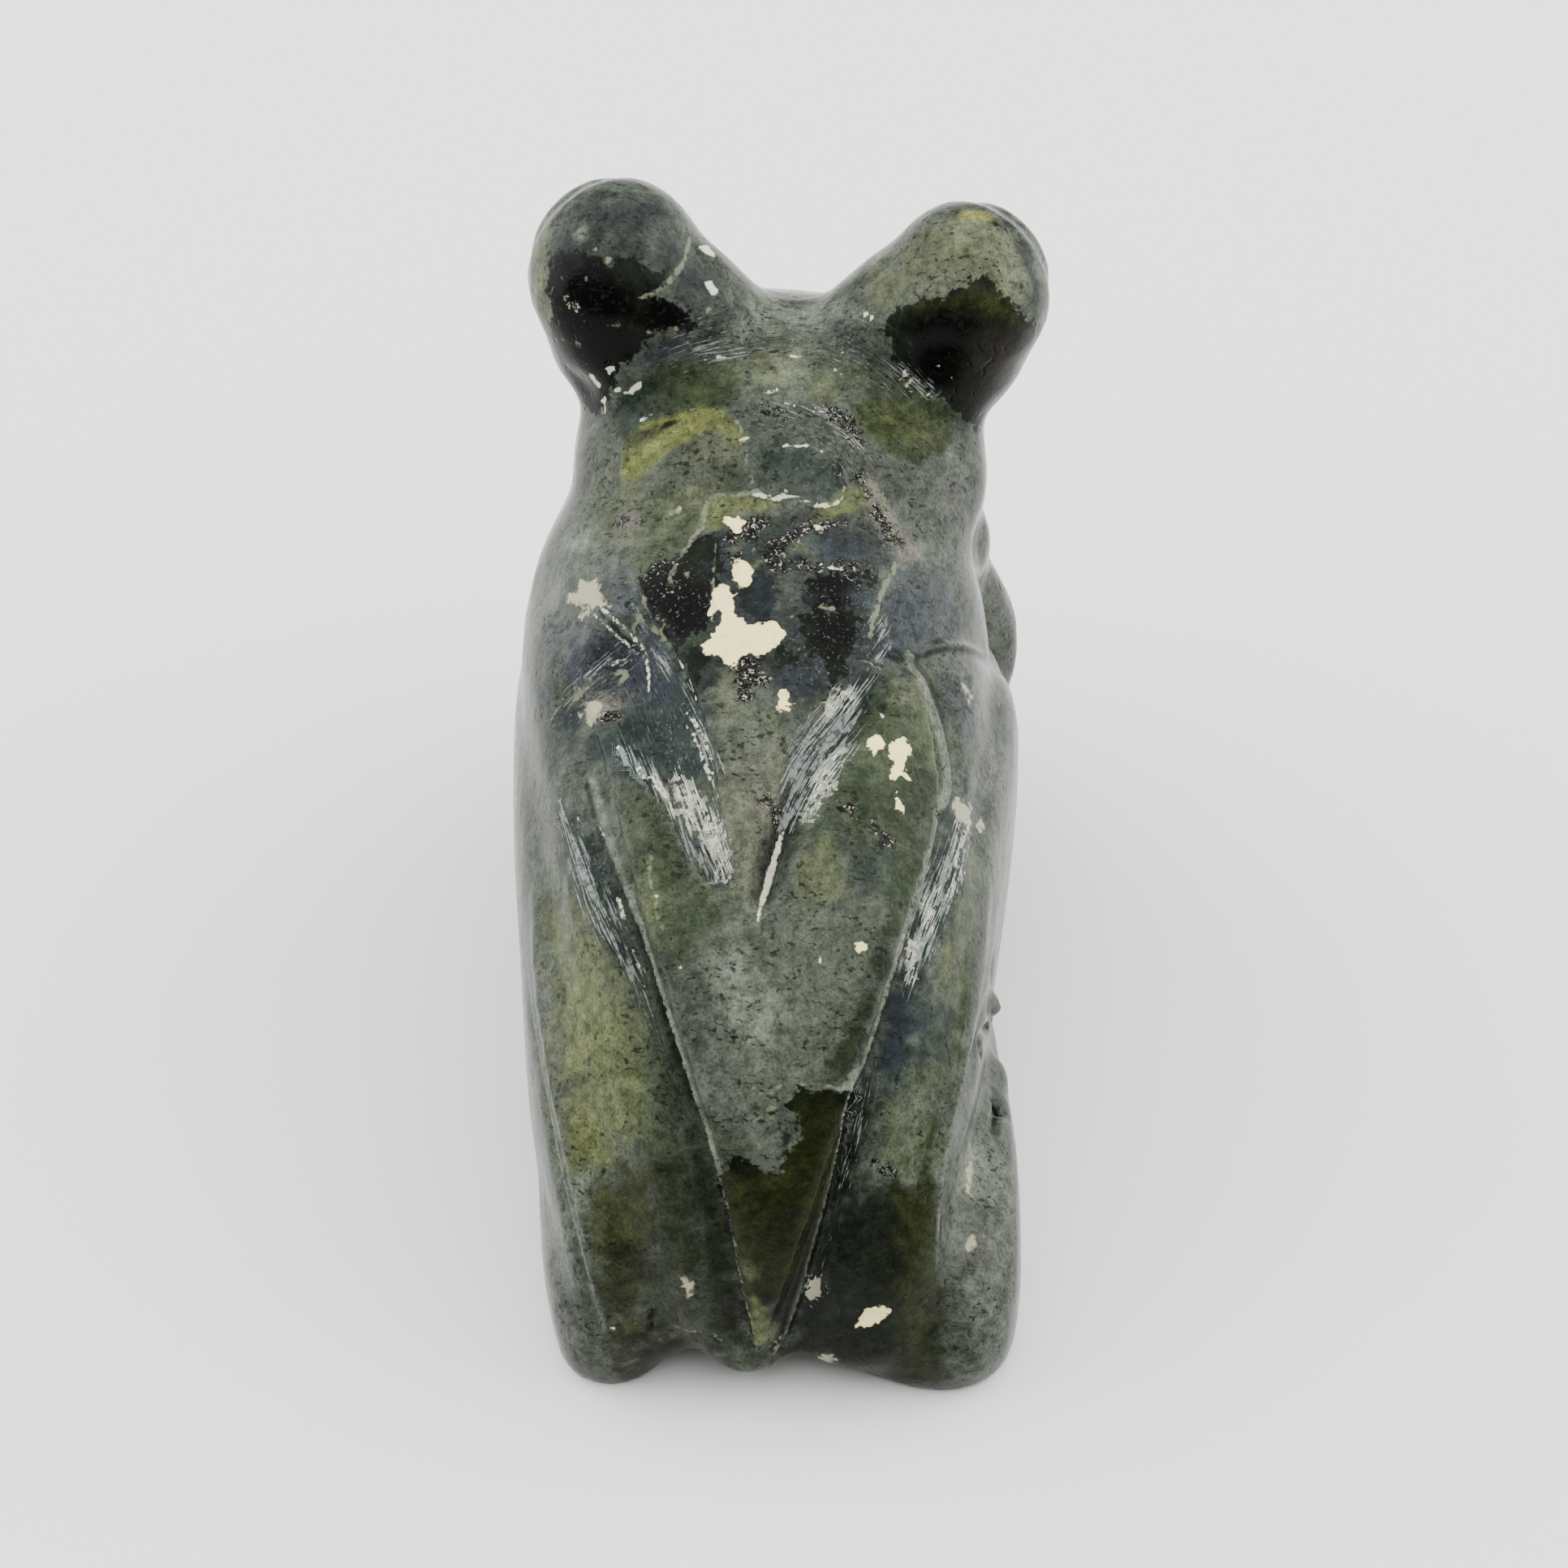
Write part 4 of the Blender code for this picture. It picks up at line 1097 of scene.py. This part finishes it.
paint(
    "vein",
    strip([(864, 650), (870, 624), (880, 611), (905, 611), (925, 607), (948, 612)], (3.5, 2.6, 2.0)),
    strip([(1062, 590), (1076, 600), (1088, 620), (1096, 642), (1102, 668)], (4.0, 5.0, 4.0)),
    strip([(1106, 694), (1092, 718), (1082, 742), (1074, 775), (1068, 802)], (3.0, 3.0, 2.2)),
    strip([(864, 650), (850, 668), (836, 690), (826, 712), (828, 722), (822, 740)], (2.8, 2.0, 1.6)),
    strip([(820, 726), (832, 723)], (2.5, 2.0)),
    strip([(798, 409.5), (815, 407), (838, 405)], (1.0, 2.2, 1.0)),
    strip([(700, 872), (714, 855), (730, 842)], (1.5, 3.5, 1.5)),
    strip([(702, 852), (722, 838), (740, 827)], (0.8, 1.6, 0.8)),
    strip([(668, 905), (690, 868), (704, 846)], (0.6, 1.4, 0.6)),
    strip([(758, 832), (766, 828), (772, 832), (764, 840)], (2.5, 4.0, 3.0)),
    strip([(776, 742), (786, 760), (780, 776), (790, 790)], (0.5, 1.2, 0.8)),
    strip([(800, 767), (812, 762), (819, 770), (809, 778), (801, 771)], (1.0, 1.0)),
    strip([(790, 740), (801, 756), (806, 772), (822, 790), (834, 808)], (0.5, 1.0, 0.8)),
    strip([(808, 778), (818, 787), (812, 797), (822, 806)], (0.7, 0.8)),
    strip([(783, 752), (792, 764), (796, 780)], (0.5, 0.9, 0.5)),
    strip([(756, 728), (770, 716), (786, 724), (796, 742)], (0.5, 0.9, 0.5)),
    spots(
        (749, 321, 5), (733, 309, 3), (695, 342, 4), (696, 368, 4), (708, 377, 4), (752, 401, 4),
        (761, 398, 4), (713, 425, 5), (700, 420, 3), (692, 417, 3), (742, 506, 4), (874, 383, 5),
        (720, 344, 3),
    ),
    spots(
        (845, 708, 4), (855, 738, 2.5), (862, 690, 2), (975, 760, 3), (1022, 750, 5), (1014, 748, 3),
        (1010, 826, 3),
    ),
    strip(
        [
            (850, 506), (872, 504), (890, 506), (904, 514), (913, 529), (917, 550), (922, 574), (932, 602),
            (945, 612),
        ],
        (0.2, 0.5, 1.0, 1.6, 2.2, 2.4, 2.2, 2.0, 2.0),
    ),
    strip([(850, 294), (842, 322), (826, 345), (806, 362), (782, 368)], (3.2, 3.2, 1.0)),
    strip([(880, 664), (878, 730), (874, 760)], (1.2, 1.4)),
    strip([(928, 1340), (940, 1350), (952, 1346), (962, 1338)], (1.4, 1.6)),
    strip([(930, 1372), (936, 1362), (948, 1370), (956, 1362)], (1.4, 1.4)),
    strip([(926, 1382), (940, 1376), (955, 1380)], (1.2, 1.4)),
    strip([(930, 1420), (936, 1406), (948, 1406), (944, 1422)], (1.6, 1.4)),
    strip([(985, 1332), (1000, 1342), (1020, 1339), (1036, 1343)], (1.6, 1.6)),
    strip([(832, 1634), (850, 1641), (870, 1640), (890, 1650)], (1.4, 1.4)),
    strip([(800, 1055), (800, 1080), (808, 1105), (810, 1130), (818, 1145)], (3.0, 1.5, 3.0)),
)
paint(
    "white_vein",
    strip([(728, 752), (748, 772), (768, 790), (786, 806)], (0.3, 0.9, 0.2)),
    strip([(740, 748), (756, 762), (776, 780), (790, 796), (796, 806)], (1.2, 1.0, 1.8, 0.6)),
    strip([(796, 806), (799, 825), (800, 852)], (0.5, 1.0, 0.2)),
    strip([(746, 825), (760, 816), (775, 811)], (0.3, 1.6, 0.3)),
    strip([(930, 488), (945, 484), (958, 481)], (0.5, 1.8, 0.5)),
    strip([(908, 541), (924, 539)], (0.8, 1.6)),
    strip([(1040, 436), (1052, 444)], (2.0, 0.8)),
    strip([(968, 437), (985, 441), (1000, 447)], (0.6, 1.6, 0.4)),
    strip([(1028, 455), (1040, 463)], (1.6, 0.6)),
    strip([(870, 443), (885, 440), (900, 439)], (0.4, 1.4, 0.4)),
    strip([(842, 874), (860, 896), (873, 914)], (0.4, 0.9, 0.4)),
    strip([(850, 882), (868, 915), (880, 945)], (0.4, 0.9, 0.4)),
    strip([(846, 894), (864, 926), (878, 955)], (0.4, 0.8, 0.4)),
    strip([(862, 932), (873, 953), (886, 984)], (0.4, 1.1, 0.4)),
    strip([(834, 808), (847, 832), (858, 862)], (0.4, 0.9, 0.4)),
    strip([(768, 922), (782, 945), (796, 962)], (0.4, 1.2, 0.4)),
    strip([(776, 930), (793, 951), (806, 958)], (0.4, 1.4, 1.0)),
    strip([(800, 955), (812, 974), (826, 988)], (1.0, 1.6, 1.0)),
    strip([(690, 1002), (697, 1020), (702, 1036)], (0.6, 1.0, 0.4)),
    strip([(711, 1004), (717, 1020), (722, 1030)], (0.6, 1.5, 0.6)),
    strip([(736, 1014), (741, 1024), (745, 1032)], (0.6, 1.2, 0.4)),
    strip([(775, 1160), (785, 1185), (795, 1215)], (0.6, 1.4, 0.4)),
    strip([(925, 608), (948, 613), (958, 617), (968, 606)], (0.8, 1.8, 2.2)),
    strip(
        [(956, 612), (975, 612), (990, 616), (1004, 622), (1026, 622), (1036, 614), (1038, 602)],
        (1.0, 1.8, 2.4, 1.8),
    ),
    strip([(1012, 695), (1024, 699), (1040, 703)], (1.0, 2.0, 0.8)),
    strip([(878, 664), (877, 700), (875, 735), (872, 765)], (0.9, 0.9, 1.4)),
    strip([(965, 549), (990, 550), (1010, 554), (1030, 560)], (1.2, 1.6, 1.0)),
    strip([(968, 496), (980, 500)], (2.2, 1.2)),
    strip([(1002, 505), (1018, 507)], (2.6, 1.2)),
    strip([(1155, 450), (1166, 458), (1178, 474)], (1.0, 1.8, 0.8)),
    strip([(1112, 456), (1130, 470), (1148, 482)], (1.0, 1.8, 0.8)),
    strip([(1110, 468), (1122, 480), (1138, 490)], (1.8, 1.4, 0.8)),
)
# Dark lines and spots are painted along the cracks, the pits and the thin seams, and on dark marks of the
# stone.
paint(
    "dark_lines",
    strip([(813, 530), (822, 523), (832, 520), (841, 515)], (0.8, 4.6, 4.0, 0.8)),
    strip([(736, 752), (756, 772), (778, 794), (790, 806)], (1.0, 2.2, 3.0, 2.0)),
    strip([(1192, 1060), (1190, 1150), (1188, 1240), (1182, 1300), (1176, 1340)], (0.3, 0.8, 2.0, 1.5, 0.3)),
    strip(
        [(883, 1205), (890, 1230), (900, 1262), (906, 1295), (908, 1325), (918, 1352)],
        (0.6, 2.2, 1.6, 1.4, 2.0, 0.8),
    ),
    strip([(926, 1369), (933, 1362), (946, 1375), (958, 1367), (967, 1373)], (0.6, 1.8, 0.6)),
    strip([(958, 1384), (966, 1395), (971, 1408), (962, 1412)], (2.5, 4.5, 2.5)),
    strip([(930, 1398), (940, 1392), (950, 1399), (946, 1412)], (0.6, 1.3, 0.6)),
    strip([(804, 1608), (802, 1624), (800, 1636)], (1.2, 3.5, 1.2)),
    strip([(1140, 325), (1160, 332), (1172, 348)], (0.4, 1.2, 0.4)),
    strip([(1196, 292), (1213, 294)], (1.4, 1.4)),
    strip([(838, 276), (850, 284), (858, 290)], (1.0, 1.6, 0.6)),
    strip([(1122, 1150), (1124, 1158)], (1.6, 1.6)),
    strip([(660, 760), (676, 752), (694, 744)], (0.4, 1.0, 0.4)),
    strip([(672, 790), (690, 780), (700, 770)], (0.4, 1.0, 0.4)),
    strip([(1180, 862), (1194, 874), (1202, 886)], (0.4, 1.2, 0.4)),
    spots((743, 1443, 4), (1226, 276, 4), (1178, 262, 4), (838, 720, 2), (1236, 372, 4)),
)
pepper = [
    (840, 740, 50), (920, 670, 30), (1030, 740, 40), (1010, 810, 44), (1080, 720, 40), (1085, 640, 30),
    (1070, 780, 34), (1020, 570, 44), (860, 580, 44), (800, 800, 44), (740, 830, 50), (840, 900, 40),
    (870, 1060, 30), (730, 1070, 40), (1040, 420, 30), (790, 620, 40), (1020, 950, 30),
]
paint("pepper", 1 - eased(0.5 + spots(*pepper) / 2.4))
paint(
    "crystal",
    strip([(795, 708), (815, 698), (838, 690)], (5, 8, 5)),
    strip([(815, 730), (830, 725)], (5, 5)),
    strip([(900, 660), (920, 650), (940, 640)], (8, 11, 7)),
    strip([(895, 680), (908, 690)], (5, 6)),
    strip([(960, 705), (955, 680), (970, 665), (1000, 650), (1040, 645)], (6, 12, 9, 5, 4)),
    strip([(985, 695), (1020, 700), (1050, 705)], (3, 5, 8)),
    strip([(915, 812), (925, 830), (915, 858)], (9, 15, 6)),
    strip([(940, 838), (948, 834)], (7, 5)),
    strip([(1040, 992), (1052, 998)], (7, 5)),
    strip([(1078, 1020), (1092, 1040)], (4, 6)),
    strip([(945, 985), (955, 1005)], (9, 9)),
    strip([(738, 882), (758, 882)], (4, 6)),
    strip([(1040, 700), (1050, 715)], (6, 6)),
    strip([(1075, 610), (1085, 640), (1100, 665)], (7, 9, 10)),
    strip([(1035, 582), (1060, 590)], (4, 4)),
    strip([(1020, 508), (1045, 520), (1058, 545)], (7, 9, 7)),
    strip([(760, 648), (775, 640), (788, 645)], (3, 5, 3)),
    strip([(1076, 1431), (1098, 1443)], (5, 5)),
    strip([(700, 372), (712, 385)], (5, 5)),
    strip([(942, 502), (960, 512)], (5, 6)),
    strip([(1155, 1000), (1156, 1010)], (4, 4)),
    strip([(680, 1015), (690, 1008)], (4, 4)),
)

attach(stone, "root")
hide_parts("frog_carving")

# The finish is grey-green serpentine with a wax polish, duller where the file marks were left.
serpentine = bpy.data.materials.new("waxed_serpentine")
serpentine.use_nodes = True
tree = serpentine.node_tree
shader = tree.nodes["Principled BSDF"]


def add(kind, sockets=None, **settings):
    """A node whose sockets are set to a value or joined to another node's output."""
    made = tree.nodes.new(kind)
    for name, value in settings.items():
        setattr(made, name, value)
    for name, value in (sockets or {}).items():
        if isinstance(value, bpy.types.NodeSocket):
            tree.links.new(value, made.inputs[name])
        else:
            made.inputs[name].default_value = value
    return made


def ramp(value, start, end, low=0.0, high=1.0):
    """Runs smoothly from low at one value to high at another."""
    made = add("ShaderNodeMapRange", {
        "Value": value, "From Min": start, "From Max": end, "To Min": low, "To Max": high,
    }, interpolation_type="SMOOTHSTEP")
    return made.outputs["Result"]


def reckon(operation, *values):
    made = add("ShaderNodeMath", {i: value for i, value in enumerate(values)}, operation=operation)
    return made.outputs["Value"]


def blend(share, under, over):
    made = add("ShaderNodeMix", data_type="RGBA")
    for socket, value in zip((made.inputs[0], made.inputs[6], made.inputs[7]), (share, under, over)):
        if isinstance(value, bpy.types.NodeSocket):
            tree.links.new(value, socket)
        else:
            socket.default_value = value
    return made.outputs[2]


def painted(name, output="Fac"):
    return add("ShaderNodeAttribute", attribute_name=name).outputs[output]


in_stone = add("ShaderNodeTexCoord").outputs["Object"]


def grain(size_mm, detail, stretch=None, roughness=0.5, distortion=0.0):
    """Noise in the stone, with features of that size in millimetres."""
    where = in_stone
    if stretch:
        where = add("ShaderNodeMapping", {"Vector": in_stone, "Scale": stretch}).outputs["Vector"]
    made = add("ShaderNodeTexNoise", {
        "Vector": where, "Scale": 1000 / size_mm, "Detail": detail, "Roughness": roughness,
        "Distortion": distortion,
    })
    return made.outputs["Fac"]


def strokes(length, width, detail):
    """Noise drawn out along the file strokes, for strokes of that length and width in millimetres."""
    where = add("ShaderNodeCombineXYZ", {
        "X": reckon("DIVIDE", painted("stroke_along"), length),
        "Y": reckon("DIVIDE", painted("stroke_across"), width),
    }).outputs["Vector"]
    return add("ShaderNodeTexNoise", {"Vector": where, "Scale": 1.0, "Detail": detail}).outputs["Fac"]


cloud = grain(3.4, 4.0, roughness=0.6, distortion=0.4)
speckle = grain(0.9, 4.0, roughness=0.62, distortion=0.3)
crumbs = grain(0.45, 2.0, distortion=0.5)
flecks = grain(0.36, 1.5, stretch=(0.60, 0.95, 1.0), distortion=0.25)
fine = grain(0.22, 2.0)
glitter = grain(0.28, 2.0, distortion=0.6)
dents = grain(0.9, 1.0, stretch=(1.3, 0.6, 0.6))
fine_strokes = strokes(2.6, 0.15, 2.0)
wide_strokes = strokes(4.0, 0.60, 3.0)
broken = reckon("SUBTRACT", reckon("MULTIPLY_ADD", crumbs, 0.7, speckle), 0.85)

FLECK = (0.006, 0.009, 0.006, 1)
DUST = (0.160, 0.175, 0.160, 1)
CREAM = (0.980, 0.870, 0.400, 1)
CURD = (0.760, 0.690, 0.360, 1)
CHIP = (0.640, 0.650, 0.500, 1)
TALLOW = (0.340, 0.325, 0.225, 1)
DARK_LINE = (0.008, 0.008, 0.006, 1)
CHALK = (0.620, 0.610, 0.470, 1)
SCUFF = (0.215, 0.235, 0.218, 1)
TICK = (0.220, 0.235, 0.205, 1)
PEPPER = (0.120, 0.125, 0.118, 1)
VEIN = (0.170, 0.187, 0.118, 1)
BLACK = (0.003, 0.0025, 0.002, 1)
GLINT = (0.290, 0.255, 0.220, 1)


def mask(name, softness, ragged_edge, breaks, deepest=-20.0):
    """Inside a painted field, with so soft and so ragged an edge in millimetres, and so solid at most."""
    inside = reckon("MAXIMUM", painted(name), deepest)
    return ramp(reckon("MULTIPLY_ADD", breaks, ragged_edge, inside), softness, -softness)


dark_share = mask("dark", 0.12, 1.7, broken)
colour = blend(dark_share, painted("stone_colour", "Color"), painted("dark_colour", "Color"))
mottled = add("ShaderNodeVectorMath", {0: colour}, operation="SCALE")
mottle = reckon("MULTIPLY", ramp(speckle, 0.30, 0.70, 0.64, 1.38), ramp(cloud, 0.30, 0.70, 0.84, 1.28))
mottle = reckon("MULTIPLY", mottle, ramp(fine, 0.30, 0.70, 0.76, 1.24))
tree.links.new(mottle, mottled.inputs["Scale"])
clustered = ramp(cloud, 0.64, 0.44)
fleck = reckon("MULTIPLY", reckon("MULTIPLY", ramp(flecks, 0.585, 0.67), clustered), 0.8)
colour = blend(fleck, mottled.outputs["Vector"], FLECK)
colour = blend(reckon("MULTIPLY", ramp(dents, 0.70, 0.75), 0.45), colour, FLECK)
bite = painted("filed")
streaks = reckon("MULTIPLY", ramp(fine_strokes, 0.50, 0.72), ramp(wide_strokes, 0.46, 0.64))
colour = blend(reckon("MULTIPLY", streaks, reckon("MULTIPLY", bite, 0.55)), colour, DUST)
trough = reckon("MULTIPLY", ramp(fine_strokes, 0.48, 0.36), reckon("MULTIPLY", bite, 0.4))
colour = blend(trough, colour, FLECK)

ticks = reckon("MULTIPLY", ramp(strokes(0.9, 0.17, 1.0), 0.65, 0.73), bite)
colour = blend(reckon("MULTIPLY", ticks, 0.6), colour, TICK)
pepper_specks = reckon("MULTIPLY", ramp(glitter, 0.62, 0.70), reckon("MULTIPLY", painted("pepper"), 0.7))
colour = blend(pepper_specks, colour, PEPPER)

stroke_breaks = reckon("SUBTRACT", 0.5, wide_strokes)
fine_breaks = reckon("MULTIPLY_ADD", reckon("SUBTRACT", 0.5, fine_strokes), 1.4, stroke_breaks)
scuff = mask("scuff", 0.12, 4.5, fine_breaks, -0.20)
scuff = reckon("MULTIPLY", scuff, ramp(crumbs, 0.38, 0.54, 0.25, 0.9))
colour = blend(scuff, colour, SCUFF)
chalk = mask("chalk", 0.10, 1.9, reckon("MULTIPLY_ADD", broken, 1.4, fine_breaks), -0.32)
chalky = blend(ramp(crumbs, 0.36, 0.58), SCUFF, CHALK)
colour = blend(reckon("MULTIPLY", chalk, 0.95), colour, chalky)
for name, softness, ragged_edge, pigment in (("vein", 0.10, 0.60, VEIN), ("dark_lines", 0.10, 0.4, DARK_LINE)):
    colour = blend(reckon("MULTIPLY", mask(name, softness, ragged_edge, broken), 0.8), colour, pigment)
crystal = mask("crystal", 0.25, 2.4, broken)
colour = blend(reckon("MULTIPLY", crystal, ramp(glitter, 0.40, 0.46)), colour, BLACK)
colour = blend(reckon("MULTIPLY", crystal, ramp(glitter, 0.585, 0.62)), colour, GLINT)
white_vein = mask("white_vein", 0.06, 0.6, broken)
colour = blend(reckon("MULTIPLY", white_vein, 0.9), colour, CHALK)
cream = mask("cream", 0.06, 0.8, broken)
curdled = blend(ramp(speckle, 0.30, 0.52), CURD, CREAM)
colour = blend(cream, colour, curdled)
for name, softness, ragged_edge, pigment in (("tallow", 0.16, 1.0, TALLOW), ("chips", 0.06, 0.35, CHIP)):
    colour = blend(mask(name, softness, ragged_edge, broken), colour, pigment)
tree.links.new(colour, shader.inputs["Base Color"])

RELIEF_HEIGHT = 0.00004
WAX_SPECULAR = 0.06
rough = reckon("MULTIPLY_ADD", bite, 0.28, ramp(speckle, 0.3, 0.7, 0.14, 0.26))
rough = reckon("MULTIPLY_ADD", cream, 0.2, rough)
tree.links.new(rough, shader.inputs["Roughness"])
relief = reckon("MULTIPLY_ADD", streaks, reckon("MULTIPLY", bite, -0.8), reckon("MULTIPLY", speckle, 0.6))
relief = reckon("MULTIPLY_ADD", fleck, -0.5, relief)
relief = reckon("MULTIPLY_ADD", ramp(dents, 0.66, 0.74), -1.2, relief)
relief = reckon("MULTIPLY_ADD", cream, 0.8, relief)
bump = add("ShaderNodeBump", {"Height": relief, "Strength": 1.0, "Distance": RELIEF_HEIGHT})
tree.links.new(bump.outputs["Normal"], shader.inputs["Normal"])
shader.inputs["Specular IOR Level"].default_value = WAX_SPECULAR
stone.data.materials.append(serpentine)

# A plain pale sweep to stand on, under a wide soft light overhead and a soft light at each side.
SWEEP_SIDE = 3.0
WHITE_PAPER = (0.90, 0.90, 0.89, 1)
WORLD_STRENGTH = 0.3

bpy.ops.mesh.primitive_plane_add(size=SWEEP_SIDE, location=(0, 0, 0))
floor = bpy.context.object
floor.name = "floor"
paper = bpy.data.materials.new("white paper")
paper.use_nodes = True
paper.node_tree.nodes["Principled BSDF"].inputs["Base Color"].default_value = WHITE_PAPER
paper.node_tree.nodes["Principled BSDF"].inputs["Roughness"].default_value = 0.9
floor.data.materials.append(paper)


def softbox(name, place, size, power):
    bpy.ops.object.light_add(type="AREA", location=place)
    lamp = bpy.context.object
    lamp.name = name
    lamp.data.shape = "SQUARE"
    lamp.data.size = size
    lamp.data.energy = power
    lamp.rotation_mode = "QUATERNION"
    lamp.rotation_quaternion = (aim - Vector(place)).to_track_quat("-Z", "Y")


softbox("overhead", (0.0, -0.10, 0.80), 1.8, 24)
softbox("side_left", (0.85, -0.20, 0.38), 1.1, 16)
softbox("side_right", (-0.85, -0.20, 0.38), 1.1, 16)
world = bpy.data.worlds.new("studio")
bpy.context.scene.world = world
world.use_nodes = True
world.node_tree.nodes["Background"].inputs["Color"].default_value = (1, 1, 1, 1)
world.node_tree.nodes["Background"].inputs["Strength"].default_value = WORLD_STRENGTH
